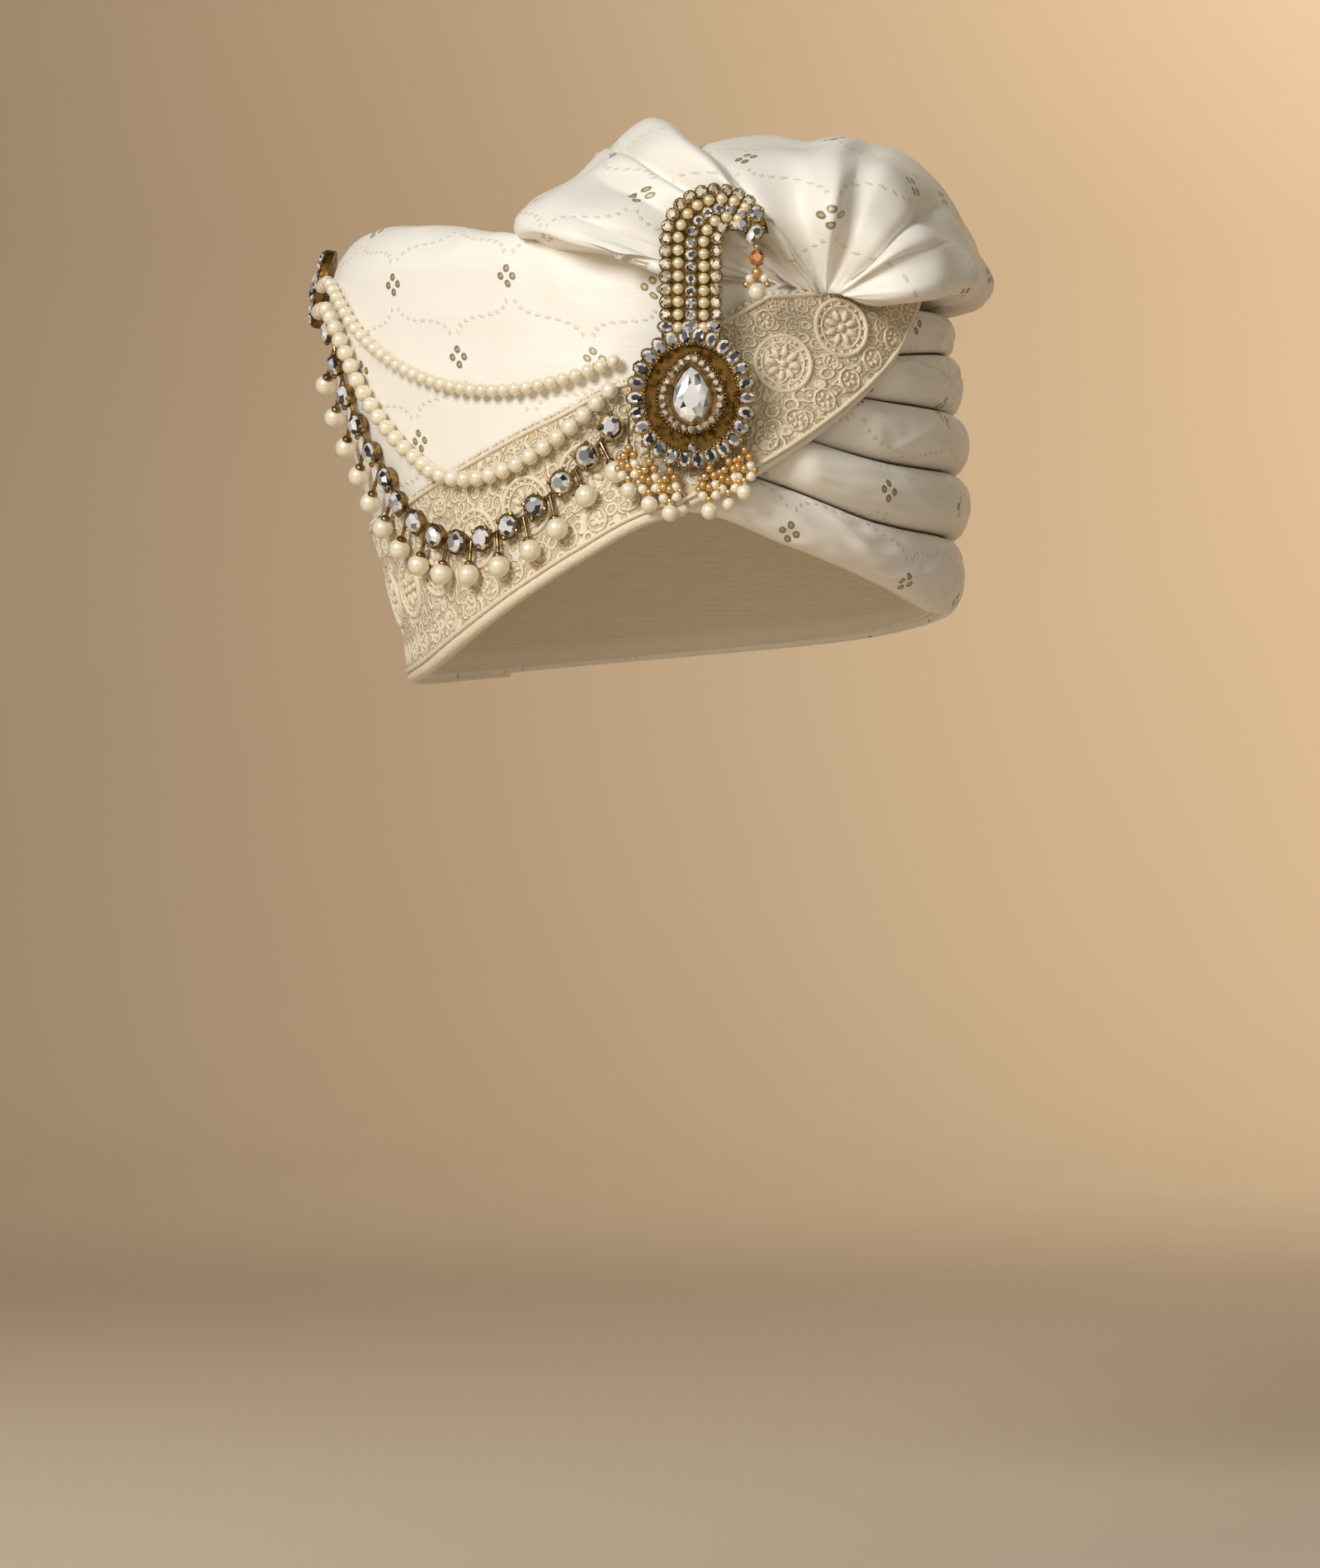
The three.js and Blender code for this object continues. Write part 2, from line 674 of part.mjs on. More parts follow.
const numbered = (name, index) => `${name}_${String(index + 1).padStart(2, "0")}`;

function addStoneChain() {
  const places = strandPlaces(CHAIN, STRAND_SEAT, CHAIN.stones);
  const cupRadius = CHAIN.cup / 2;
  const pearlRadius = CHAIN.pearl / 2;
  const metal = [];
  places.forEach((place, index) => {
    const cup = [[0, 0], [cupRadius, 0], [cupRadius, CHAIN.cupHeight], [0, CHAIN.cupHeight]];
    metal.push(turned(cup, 8, place.point, place.out));
    const face = place.point.clone().addScaledVector(place.out, CHAIN.cupHeight + GAP);
    const half = CHAIN.stone / 2;
    const table = half * CHAIN.stoneTable;
    const cut = [[0, 0], [half, 0], [table, CHAIN.stoneHeight], [0, CHAIN.stoneHeight]];
    addMesh(numbered("chain_stone", index), turned(cut, 7, face, place.out), glass());
    if (index === places.length - 1) return;
    const next = places[index + 1];
    const lift = CHAIN.cupHeight / 2;
    const from = place.point.clone().addScaledVector(place.out, lift);
    const to = next.point.clone().addScaledVector(next.out, lift);
    metal.push(rod(from, to, CHAIN.wire / 2));
    const middle = from.clone().lerp(to, 0.5);
    const ahead = to.clone().sub(from).normalize();
    const steep = Math.abs(ahead.dot(place.down));
    const sideStep = (CHAIN.swing * steep) / HEAD_HALF_WIDTH;
    const hangAngle = (place.angle + next.angle) / 2 + radToDeg(sideStep) * Math.sign(ahead.z);
    const hang = panelFrame(hangAngle, middle.z - CHAIN.drop, STRAND_SEAT + pearlRadius).point;
    const toPearl = hang.clone().sub(middle).normalize();
    const stop = hang.clone().addScaledVector(toPearl, -(pearlRadius + GAP));
    metal.push(rod(middle, stop, CHAIN.wire / 2));
    addMesh(numbered("chain_pearl", index), turned(ballProfile(pearlRadius), 7, hang, toPearl), pearl());
  });
  addMesh("stone_chain", join(metal), gold());
}

// Main brooch
function ovalShape(width, height) {
  return new THREE.Shape().absellipse(0, 0, width / 2, height / 2, 0, 2 * Math.PI);
}

function pearShape(width, height) {
  const half = width / 2;
  const shape = new THREE.Shape();
  shape.moveTo(0, height * 0.56);
  shape.bezierCurveTo(half * 0.5, height * 0.4, half, height * 0.12, half, -height * 0.1);
  shape.bezierCurveTo(half, -height * 0.32, half * 0.55, -height * 0.44, 0, -height * 0.44);
  shape.bezierCurveTo(-half * 0.55, -height * 0.44, -half, -height * 0.32, -half, -height * 0.1);
  shape.bezierCurveTo(-half, height * 0.12, -half * 0.5, height * 0.4, 0, height * 0.56);
  return shape;
}

function hookShape() {
  const { stemLeft, stemRight, stemFoot, hookTop, hookTip } = BROOCH;
  const bend = hookTop - 18;
  const shape = new THREE.Shape();
  shape.moveTo(stemLeft, stemFoot);
  shape.lineTo(stemRight, stemFoot);
  shape.lineTo(stemRight, bend);
  shape.bezierCurveTo(stemRight, bend + 7, hookTip - 8, bend + 7, hookTip - 7, bend + 4);
  shape.quadraticCurveTo(hookTip, bend - 1, hookTip, bend + 6);
  shape.bezierCurveTo(hookTip, hookTop - 4, hookTip - 7, hookTop, stemRight - 2, hookTop);
  shape.bezierCurveTo(-2, hookTop, stemLeft, hookTop - 8, stemLeft, bend - 2);
  shape.closePath();
  return shape;
}

function extruded(shape, depth, curveSegments, lift = 0) {
  const geometry = new THREE.ExtrudeGeometry(shape, { depth, bevelEnabled: false, curveSegments });
  return closedGeometry(geometry.translate(0, 0, lift));
}

function addBrooch() {
  const brooch = new THREE.Group();
  brooch.position.set(BROOCH.x, BROOCH.y, BROOCH.z);
  brooch.rotation.x = Math.PI / 2;
  turban.add(brooch);
  const { haloWidth, haloHeight, haloBand, haloDepth, plate } = BROOCH;
  const well = ovalShape(haloWidth - 2 * haloBand, haloHeight - 2 * haloBand);
  const disc = extruded(ovalShape(haloWidth, haloHeight), haloDepth, HALO_SEGMENTS);
  const halo = join([disc], [extruded(well, haloDepth, HALO_SEGMENTS, plate)]);
  const seat = pearShape(BROOCH.crystalWidth + 2 * GAP, BROOCH.crystalHeight + 2 * GAP);
  const pinFoot = new THREE.Vector3(0, 0, -PIN_LENGTH);
  const solids = [
    halo,
    extruded(pearShape(BROOCH.pearWidth, BROOCH.pearHeight), BROOCH.pearDepth, CURVE_SEGMENTS),
    extruded(hookShape(), BROOCH.stemDepth, CURVE_SEGMENTS),
    rod(pinFoot, new THREE.Vector3(0, 0, plate / 2), BROOCH.pin / 2, 8),
  ];
  const frame = join(solids, [extruded(seat, BROOCH.pearDepth, CURVE_SEGMENTS, plate)]);
  addMesh("brooch_frame", frame, gold(), brooch);
  const crystal = extruded(
    pearShape(BROOCH.crystalWidth, BROOCH.crystalHeight),
    BROOCH.crystalDepth - BROOCH.plate - GAP,
    CURVE_SEGMENTS,
    BROOCH.plate + GAP,
  );
  addMesh("brooch_crystal", crystal, glass(), brooch);
}

// The brooch's plain pin ends just short of the lace behind the halo.
const PIN_LENGTH = -BROOCH.y - Math.abs(panelFrame(1.5, BROOCH.z, STRAND_SEAT).point.y);

// A drop of small beads that ends in a pearl, hanging in the brooch's plane.
function dropProfile(top, bottom, size) {
  const radius = size / 2;
  const waist = bottom + size;
  return [
    [0, bottom],
    [radius * 0.7, bottom + radius * 0.3],
    [radius, bottom + radius],
    [radius * 0.7, bottom + radius * 1.7],
    [0.9, waist],
    [radius * 0.75, lerp(waist, top, 0.3)],
    [radius * 0.75, lerp(waist, top, 0.75)],
    [0.6, top],
    [0, top],
  ];
}

// Height of the halo's lower outline at a place across it.
function haloFoot(x) {
  const share = (x - BROOCH.x) / (BROOCH.haloWidth / 2);
  return BROOCH.z - (BROOCH.haloHeight / 2) * Math.sqrt(1 - share ** 2);
}

function addDrops() {
  const plane = BROOCH.y - BROOCH.haloDepth / 2;
  FRINGE.forEach((drop, index) => {
    const radius = drop.size / 2;
    const inside = drop.x - Math.sign(drop.x - BROOCH.x) * radius * 0.5;
    const profile = dropProfile(haloFoot(inside) - GAP, drop.pearl - radius, drop.size);
    const place = new THREE.Vector3(drop.x, plane, 0);
    addMesh(`fringe_drop_${index + 1}`, turned(profile, 8, place, new THREE.Vector3(0, 0, 1)), pearl());
  });
  const hook = dropProfile(HOOK_DROP.top, HOOK_DROP.bottom, HOOK_DROP.widest);
  const place = new THREE.Vector3(HOOK_DROP.x, plane, 0);
  addMesh("brooch_hook_drop", turned(hook, 8, place, new THREE.Vector3(0, 0, 1)), gold());
}

function addSideBrooch() {
  const { angle, height, width, tall, depth } = SIDE_BROOCH;
  const { point, out, down } = panelFrame(angle, height, GAP);
  const up = down.clone().negate();
  const right = up.clone().cross(out);
  const mesh = addMesh("side_brooch", extruded(ovalShape(width, tall), depth, 10), gold());
  mesh.quaternion.setFromRotationMatrix(new THREE.Matrix4().makeBasis(right, up, out));
  mesh.position.copy(point);
}

addUnderWrap();
addFrontPanel();
addLaceBand();
addRolls();
addCrown();
addBrooch();
addDrops();
addSideBrooch();
PEARL_STRANDS.forEach(addPearlStrand);
addStoneChain();

export default turban;
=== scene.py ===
# %% [markdown]
# # A tied turban with a jewelled brooch
# The object is a ceremonial turban: one long ivory cloth wound into a cap, a smooth panel across the
# brow with a lace border, five wound rolls on the right, a gathered crown on top, and a hooked brooch
# with strings of pearls and stones. The frame holds the plain solids of all these pieces. Each one is
# rebuilt here from the same measures, finer and with its real finish, so that nothing has to be fitted.

# %% Load the frame
import math

import bmesh
import bpy
import numpy as np
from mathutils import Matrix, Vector


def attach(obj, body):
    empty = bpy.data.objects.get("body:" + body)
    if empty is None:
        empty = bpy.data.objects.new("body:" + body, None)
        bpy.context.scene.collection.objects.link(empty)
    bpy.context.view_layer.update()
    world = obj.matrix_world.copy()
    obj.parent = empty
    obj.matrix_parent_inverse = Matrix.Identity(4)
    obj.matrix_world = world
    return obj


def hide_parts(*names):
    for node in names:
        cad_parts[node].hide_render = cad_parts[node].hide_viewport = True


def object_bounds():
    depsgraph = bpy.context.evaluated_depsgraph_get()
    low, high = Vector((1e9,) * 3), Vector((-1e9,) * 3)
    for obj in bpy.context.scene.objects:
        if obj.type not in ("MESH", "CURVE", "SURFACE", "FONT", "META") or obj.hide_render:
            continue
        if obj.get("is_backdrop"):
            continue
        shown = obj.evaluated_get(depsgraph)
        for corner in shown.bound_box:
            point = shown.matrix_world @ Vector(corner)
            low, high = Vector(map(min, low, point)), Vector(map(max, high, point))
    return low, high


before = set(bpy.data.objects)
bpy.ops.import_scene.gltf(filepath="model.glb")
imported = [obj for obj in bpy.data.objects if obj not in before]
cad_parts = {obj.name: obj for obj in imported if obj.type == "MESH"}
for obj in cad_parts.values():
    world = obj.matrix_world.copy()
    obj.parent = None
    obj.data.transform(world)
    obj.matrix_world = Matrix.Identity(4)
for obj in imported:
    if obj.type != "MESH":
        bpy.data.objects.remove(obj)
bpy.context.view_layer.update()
MM = 0.001
scene = bpy.context.scene

# %% [markdown]
# ## The camera
# The view is level, a little below the brow and one and a half metres away. A long lens at that
# distance keeps the two sides of the turban parallel, as in a catalogue picture. The focal length
# follows from the picture: 36 mm of sensor lie along its long side.

# %% Camera
camera = bpy.data.objects.new("camera", bpy.data.cameras.new("camera"))
camera.data.sensor_width = 36
camera.data.lens = 110
camera.location = (-0.0065, -1.5, -0.044)
camera.rotation_euler = (math.radians(90), 0, 0)
scene.collection.objects.link(camera)
scene.camera = camera
print("camera at", tuple(camera.location), "lens", camera.data.lens)

# %% [markdown]
# ## Colours and nodes
# Hex colours are written as a screen shows them, while shaders count in linear light, so one function
# converts them. Another adds one node with its settings, values and links, and gives back the socket
# that the next node needs. Every material and every Geometry Nodes tree below is built with it.


# %% Two helpers for nodes
def linear(hex_colour):
    """A colour such as #f6efe0 as linear red, green, blue and alpha."""
    parts = [int(hex_colour[start:start + 2], 16) / 255 for start in (1, 3, 5)]
    return tuple(p / 12.92 if p <= 0.04045 else ((p + 0.055) / 1.055) ** 2.4 for p in parts) + (1.0,)


def add_node(tree, kind, inputs=None, output=None, **settings):
    """Adds a node, sets or links its inputs by name or number, and returns one of its outputs."""
    node = tree.nodes.new(kind)
    for name, value in settings.items():
        setattr(node, name, value)
    for key, value in (inputs or {}).items():
        named = (socket for socket in node.inputs if socket.enabled and socket.name == key)
        socket = node.inputs[key] if isinstance(key, int) else next(named)
        for source in value if isinstance(value, list) else [value]:
            if isinstance(source, bpy.types.NodeSocket):
                tree.links.new(source, socket)
            else:
                socket.default_value = source
    if output:
        return node.outputs[output]
    return next((socket for socket in node.outputs if socket.enabled), None)


def new_finish(name):
    """A new material with an empty node tree."""
    material = bpy.data.materials.new(name)
    material.use_nodes = True
    material.node_tree.nodes.clear()
    return material, material.node_tree


print("ivory in linear light:", linear("#f6efe0"))

# %% [markdown]
# ## The studio
# A pale paper sweep runs from the floor up behind the object. A flat floor and a wall would show a line
# where they meet, so the paper is one strip that bends upwards in a wide curve. Towards the wall its
# colour is painted deeper, as painted shade, so that the ivory cloth stands out against it.

# %% Studio paper
FLOOR = -0.297
SWEEP = {"front": -3.5, "back": 2.4, "top": 3.0, "half_width": 4.0, "radius": 0.7, "steps": 48}
PALE_TO = 0.1
DEEP_FROM = 1.0
MOTTLE_METRES = 0.714


def sweep_profile():
    """Side view of the paper: the floor, the curve and the wall, as (y, z)."""
    bend = [math.radians(90) * step / SWEEP["steps"] for step in range(SWEEP["steps"] + 1)]
    curve = [(SWEEP["back"] - SWEEP["radius"] + SWEEP["radius"] * math.sin(t),
              FLOOR + SWEEP["radius"] * (1 - math.cos(t))) for t in bend]
    return [(SWEEP["front"], FLOOR)] + curve + [(SWEEP["back"], SWEEP["top"])]


# Uncoated paper gives the eye an even, dull ground with hardly a cloud in it and no highlight.
paper, tree = new_finish("matt_studio_paper")
solid = add_node(tree, "ShaderNodeTexCoord", output="Object")
mottle = add_node(tree, "ShaderNodeTexNoise", {"Vector": solid, "Scale": 1 / MOTTLE_METRES, "Detail": 3.0})
# The wall tone is painted shade: the paper is made darker as it runs back towards the wall.
floor_tone, painted_shade_wall_tone = [
    add_node(tree, "ShaderNodeMix", {"Factor": mottle, "A": linear(low), "B": linear(high)}, data_type="RGBA")
    for low, high in (("#d8c6ad", "#dfcfb9"), ("#98886f", "#a19178"))]
behind = add_node(tree, "ShaderNodeMapRange", {
    "Value": add_node(tree, "ShaderNodeSeparateXYZ", {"Vector": solid}, output="Y"),
    "From Min": PALE_TO, "From Max": DEEP_FROM}, interpolation_type="SMOOTHSTEP")
tone = add_node(tree, "ShaderNodeMix", {
    "Factor": behind, "A": floor_tone, "B": painted_shade_wall_tone}, data_type="RGBA")
add_node(tree, "ShaderNodeOutputMaterial", {
    "Surface": add_node(tree, "ShaderNodeBsdfPrincipled", {"Base Color": tone, "Roughness": 0.95})})

profile = sweep_profile()
strips = len(profile) - 1
sweep_mesh = bpy.data.meshes.new("studio_sweep")
sweep_mesh.from_pydata(
    [(x, y, z) for x in (-SWEEP["half_width"], SWEEP["half_width"]) for y, z in profile], [],
    [(i, i + 1, i + 1 + len(profile), i + len(profile)) for i in range(strips)])
sweep_mesh.polygons.foreach_set("use_smooth", np.ones(strips, bool))
sweep_mesh.materials.append(paper)
studio_sweep = bpy.data.objects.new("studio_sweep", sweep_mesh)
scene.collection.objects.link(studio_sweep)
studio_sweep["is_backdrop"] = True
print("paper sweep:", strips, "strips, floor at", FLOOR)

# %% [markdown]
# ## Lights
# The light is a soft box from the upper left, a large weak one from the right and a warm glow all round,
# so the left of the panel is almost white and the rolls on the right fall into soft shade. A third lamp
# brightens only the paper. Area lights are used because their size sets how soft the shadows are.

# %% Lights and surroundings
LIGHTS = (
    # name, watts, size in metres, place, aim, colour
    ("key_softbox", 30.0, 0.7, (-1.05, -1.5, 0.95), (-0.02, 0, 0.06), "#ffffff"),
    ("fill_softbox", 5.2, 1.4, (0.5, -1.9, 0.9), (0, 0, 0.05), "#fff8ee"),
    ("backdrop_light", 51, 1.0, (1.1, 1.35, 1.1), (0.5, 2.4, 0.55), "#fff0e4"),
)
for name, watts, size, place, aim, colour in LIGHTS:
    light = bpy.data.lights.new(name, "AREA")
    light.energy = watts
    light.size = size
    light.color = linear(colour)[:3]
    lamp = bpy.data.objects.new(name, light)
    lamp.location = place
    lamp.rotation_euler = (Vector(aim) - Vector(place)).to_track_quat("-Z", "Y").to_euler()
    lamp.visible_camera = False
    scene.collection.objects.link(lamp)

scene.world = bpy.data.worlds.new("warm_room")
scene.world.use_nodes = True
room = scene.world.node_tree.nodes["Background"]
room.inputs["Color"].default_value = linear("#e4ddd2")
room.inputs["Strength"].default_value = 0.25
scene.view_settings.view_transform = "Standard"
print("studio:", len(LIGHTS), "lights")

# %% [markdown]
# ## Ivory turban cloth
# The cloth is a soft silk and cotton satin: a satin weave floats its threads, so ridges catch a long
# pale highlight while the rest stays matt. Small four-petal sprigs in foil stand where dotted
# lines cross. The lines are worked out from the cloth's own UV map, which is kept in metres, so the
# sprigs keep their size on every piece and follow every fold.

# %% Dotted trellis
TRELLIS_MM = 34.0
PETAL_MM = 1.65
PETAL_RIM_MM = 0.75
DOT_STEP_MM = 2.6
BOW_MM = 4.5
SPRIG_REACH_MM = 6.0
CLOUD_MM = 36.0
# Real slubs are about 0.3 mm thick. They are drawn 1.1 mm thick, so that they show at this distance.
SLUB_LONG_MM = 11.0
SLUB_THICK_MM = 1.1


def trellis_place(tree):
    """Millimetres from the middle of a trellis cell, as x and y sockets and as a vector."""
    flat = add_node(tree, "ShaderNodeUVMap", uv_map="cloth")
    cells = add_node(tree, "ShaderNodeMapping", {
        "Vector": flat, "Rotation": (0, 0, math.radians(45)), "Scale": (1 / (TRELLIS_MM * MM),) * 3})
    within = add_node(tree, "ShaderNodeVectorMath", {0: cells}, operation="FRACTION")
    centred = add_node(tree, "ShaderNodeVectorMath", {0: within, 1: (0.5, 0.5, 0)}, operation="SUBTRACT")
    place = add_node(tree, "ShaderNodeVectorMath", {0: centred, "Scale": TRELLIS_MM}, operation="SCALE")
    parts = add_node(tree, "ShaderNodeSeparateXYZ", {"Vector": place}).node
    return place, parts.outputs["X"], parts.outputs["Y"], flat


def dotted_line(tree, off, along):
    """A mask of dots along a bowed line, clear of the sprig in the middle."""
    turn = add_node(tree, "ShaderNodeMath", {0: along, 1: 2 * math.pi / TRELLIS_MM}, operation="MULTIPLY")
    bow = add_node(tree, "ShaderNodeMath", {
        0: add_node(tree, "ShaderNodeMath", {0: turn}, operation="SINE"), 1: BOW_MM, 2: off},
        operation="MULTIPLY_ADD")
    steps = add_node(tree, "ShaderNodeMath", {0: along, 1: DOT_STEP_MM}, operation="DIVIDE")
    share = add_node(tree, "ShaderNodeMath", {0: steps}, operation="FRACT")
    offset = add_node(tree, "ShaderNodeMath", {0: share, 1: DOT_STEP_MM, 2: -DOT_STEP_MM / 2},
                      operation="MULTIPLY_ADD")
    pair = add_node(tree, "ShaderNodeCombineXYZ", {"X": bow, "Y": offset})
    reach = add_node(tree, "ShaderNodeVectorMath", {0: pair}, output="Value", operation="LENGTH")
    dots = add_node(tree, "ShaderNodeMapRange", {
        "Value": reach, "From Min": 0.85, "From Max": 0.45}, interpolation_type="SMOOTHSTEP")
    away = add_node(tree, "ShaderNodeMath", {0: along}, operation="ABSOLUTE")
    clear = add_node(tree, "ShaderNodeMath", {0: away, 1: SPRIG_REACH_MM}, operation="GREATER_THAN")
    return add_node(tree, "ShaderNodeMath", {0: dots, 1: clear}, operation="MULTIPLY")


print("trellis cells:", TRELLIS_MM, "mm")

# %% [markdown]
# ## Sprigs and thread on the satin
# Four petals stand round the middle of each cell. Taking the absolute value of a place in the cell folds
# it in four, so one petal stands for all of them. A ring of darker foil round a pale eye makes the petal.
# Foil, dots and slubs also feed one bump, so that they catch the light as raised foil and thread do.

# %% Ivory satin
# Floating threads give the eye long soft highlights on the ridges and a slightly cloudy, matt ground
# between them. The foil of the sprigs is darker than the cloth where it mirrors the room.
ivory_satin, tree = new_finish("ivory_silk_cotton_satin")
place, across, along, flat = trellis_place(tree)
folded = add_node(tree, "ShaderNodeVectorMath", {0: place}, operation="ABSOLUTE")
from_petal = add_node(tree, "ShaderNodeVectorMath", {
    0: add_node(tree, "ShaderNodeVectorMath", {0: folded, 1: (PETAL_MM, PETAL_MM, 0)}, operation="SUBTRACT")},
    output="Value", operation="LENGTH")
rim = add_node(tree, "ShaderNodeMath", {
    0: add_node(tree, "ShaderNodeMath", {0: from_petal, 1: PETAL_RIM_MM}, operation="SUBTRACT")},
    operation="ABSOLUTE")
petal_rim = add_node(tree, "ShaderNodeMapRange", {
    "Value": rim, "From Min": 0.6, "From Max": 0.2}, interpolation_type="SMOOTHSTEP")
petal_eye = add_node(tree, "ShaderNodeMapRange", {
    "Value": from_petal, "From Min": 0.9, "From Max": 0.3}, interpolation_type="SMOOTHSTEP")
dots = add_node(tree, "ShaderNodeMath", {
    0: dotted_line(tree, across, along), 1: dotted_line(tree, along, across)}, operation="MAXIMUM")
slub_place = add_node(tree, "ShaderNodeMapping", {
    "Vector": flat, "Scale": (1 / (SLUB_LONG_MM * MM), 1 / (SLUB_THICK_MM * MM), 1)})
slub = add_node(tree, "ShaderNodeTexNoise", {"Vector": slub_place, "Scale": 1.0, "Detail": 2.0})
cloud = add_node(tree, "ShaderNodeTexNoise", {"Vector": flat, "Scale": 1 / (CLOUD_MM * MM), "Detail": 2.0})
tint = add_node(tree, "ShaderNodeMix", {
    "Factor": cloud, "A": linear("#f0e9db"), "B": linear("#f8f4ea")}, data_type="RGBA")
# The dots are tinted tan as painted shadow: the raised dots are near the ground's colour, and the tan stands
# in for the shade beside them.
dot_painted_shadow = add_node(tree, "ShaderNodeMath", {0: dots, 1: 0.5}, operation="MULTIPLY")
for mask, colour in ((dot_painted_shadow, "#d8ccb2"), (petal_rim, "#958766"), (petal_eye, "#cfbf98")):
    tint = add_node(tree, "ShaderNodeMix", {
        "Factor": mask, "A": tint, "B": linear(colour)}, data_type="RGBA")
foil = add_node(tree, "ShaderNodeMath", {0: petal_rim, 1: petal_eye}, operation="MAXIMUM")
relief = add_node(tree, "ShaderNodeMath", {
    0: add_node(tree, "ShaderNodeMath", {0: foil, 1: dots}, operation="MAXIMUM"),
    1: 0.8, 2: add_node(tree, "ShaderNodeMath", {0: slub, 1: 0.22}, operation="MULTIPLY")},
    operation="MULTIPLY_ADD")
bumped = add_node(tree, "ShaderNodeBump", {"Strength": 0.55, "Distance": 0.0006, "Height": relief})
add_node(tree, "ShaderNodeOutputMaterial", {"Surface": add_node(tree, "ShaderNodeBsdfPrincipled", {
    "Base Color": tint,
    "Metallic": add_node(tree, "ShaderNodeMath", {0: foil, 1: 0.55}, operation="MULTIPLY"),
    "Roughness": add_node(tree, "ShaderNodeMapRange", {
        "Value": slub, "From Min": 0.2, "From Max": 0.8, "To Min": 0.42, "To Max": 0.54}),
    "Normal": bumped,
    "Specular IOR Level": 0.45,
    "Sheen Weight": 0.12,
    "Sheen Roughness": 0.4})})
print("ivory satin:", len(tree.nodes), "nodes")

# %% [markdown]
# ## The reverse of the cloth
# Inside the hollow only the reverse of the cloth shows. The foil is printed from the front, so the back
# has no sprigs. It shows the slubs of the weft and the matt side of the weave, a little yellower.

# %% Matt reverse
# The reverse of a satin has few floats, so it gives the eye a dull, dry ivory with fine level streaks.
ivory_reverse, tree = new_finish("ivory_satin_reverse")
solid = add_node(tree, "ShaderNodeTexCoord", output="Object")
streaks = (SLUB_LONG_MM * MM, SLUB_LONG_MM * MM, SLUB_THICK_MM * MM)
weft = add_node(tree, "ShaderNodeMapping", {"Vector": solid, "Scale": tuple(1 / size for size in streaks)})
slub = add_node(tree, "ShaderNodeTexNoise", {"Vector": weft, "Scale": 1.0, "Detail": 2.0})
tint = add_node(tree, "ShaderNodeMix", {
    "Factor": slub, "A": linear("#e4d9c3"), "B": linear("#efe6d4")}, data_type="RGBA")
bumped = add_node(tree, "ShaderNodeBump", {"Strength": 0.4, "Distance": 0.0005, "Height": slub})
add_node(tree, "ShaderNodeOutputMaterial", {"Surface": add_node(tree, "ShaderNodeBsdfPrincipled", {
    "Base Color": tint, "Normal": bumped, "Roughness": add_node(tree, "ShaderNodeMapRange", {
        "Value": slub, "From Min": 0.3, "From Max": 0.7, "To Min": 0.62, "To Max": 0.75})})})
print("reverse of the cloth:", ivory_reverse.name)

# %% [markdown]
# ## Embroidered lace
# The border is a corded lace: a net ground filled with close beige embroidery. Its big motifs are made
# as geometry further down, and the fine fill between them is drawn here as rings of thread round random
# points, about five millimetres apart, pale on the thread and with painted shade in the gaps.

# %% Beige lace
FILL_MM = 4.6
NET_MM = 1.3
TWIST_MM = 0.9
RING_TURNS = 17.0
# Threads wound in rings give the eye pale raised lines and pits darkened with painted shade, with no shine at
# all.
beige_lace, tree = new_finish("beige_corded_lace")
flat = add_node(tree, "ShaderNodeUVMap", uv_map="cloth")
heart = add_node(tree, "ShaderNodeTexVoronoi", {
    "Vector": flat, "Scale": 1 / (FILL_MM * MM), "Randomness": 0.8})
rings = add_node(tree, "ShaderNodeMath", {
    0: add_node(tree, "ShaderNodeMath", {0: heart, 1: RING_TURNS}, operation="MULTIPLY")}, operation="SINE")
net = add_node(tree, "ShaderNodeTexVoronoi", {"Vector": flat, "Scale": 1 / (NET_MM * MM), "Randomness": 0.4})
thread = add_node(tree, "ShaderNodeMapRange", {
    "Value": rings, "From Min": -0.5, "From Max": 0.7}, interpolation_type="SMOOTHSTEP")
height = add_node(tree, "ShaderNodeMath", {0: net, 1: -0.6, 2: thread}, operation="MULTIPLY_ADD")
raised = add_node(tree, "ShaderNodeMapRange", {"Value": height, "From Min": -0.3, "From Max": 0.7})
# The colour follows the height, so the low gaps and pits get a darker beige: painted shade.
tint = add_node(tree, "ShaderNodeMix", {
    "Factor": raised, "A": linear("#cfba94"), "B": linear("#efe2c6")}, data_type="RGBA")
bumped = add_node(tree, "ShaderNodeBump", {"Strength": 0.9, "Distance": 0.0007, "Height": height})
add_node(tree, "ShaderNodeOutputMaterial", {"Surface": add_node(tree, "ShaderNodeBsdfPrincipled", {
    "Base Color": tint, "Roughness": 0.72, "Normal": bumped, "Sheen Weight": 0.15, "Sheen Roughness": 0.5})})

# A twisted mercerised cord gives the eye a pale beige line with fine flecks of shade along its twist.
corded_thread, tree = new_finish("beige_embroidery_cord")
solid = add_node(tree, "ShaderNodeTexCoord", output="Object")
twist = add_node(tree, "ShaderNodeTexNoise", {"Vector": solid, "Scale": 1 / (TWIST_MM * MM), "Detail": 1.0})
tint = add_node(tree, "ShaderNodeMix", {
    "Factor": twist, "A": linear("#dccaa8"), "B": linear("#f3e9d4")}, data_type="RGBA")
bumped = add_node(tree, "ShaderNodeBump", {"Strength": 0.5, "Distance": 0.0004, "Height": twist})
add_node(tree, "ShaderNodeOutputMaterial", {"Surface": add_node(tree, "ShaderNodeBsdfPrincipled", {
    "Base Color": tint, "Roughness": 0.6, "Normal": bumped, "Sheen Weight": 0.1, "Sheen Roughness": 0.5})})
print("lace finishes:", beige_lace.name, corded_thread.name)

# %% [markdown]
# ## Metal
# The jewellery is cast brass plated in antique gold: brown where the plating is dark in the hollows and
# bright on worn tops. Three golds share one recipe, in which patches of wear decide both the colour and
# the gloss, so a table with a row for each of them and one loop make all three.

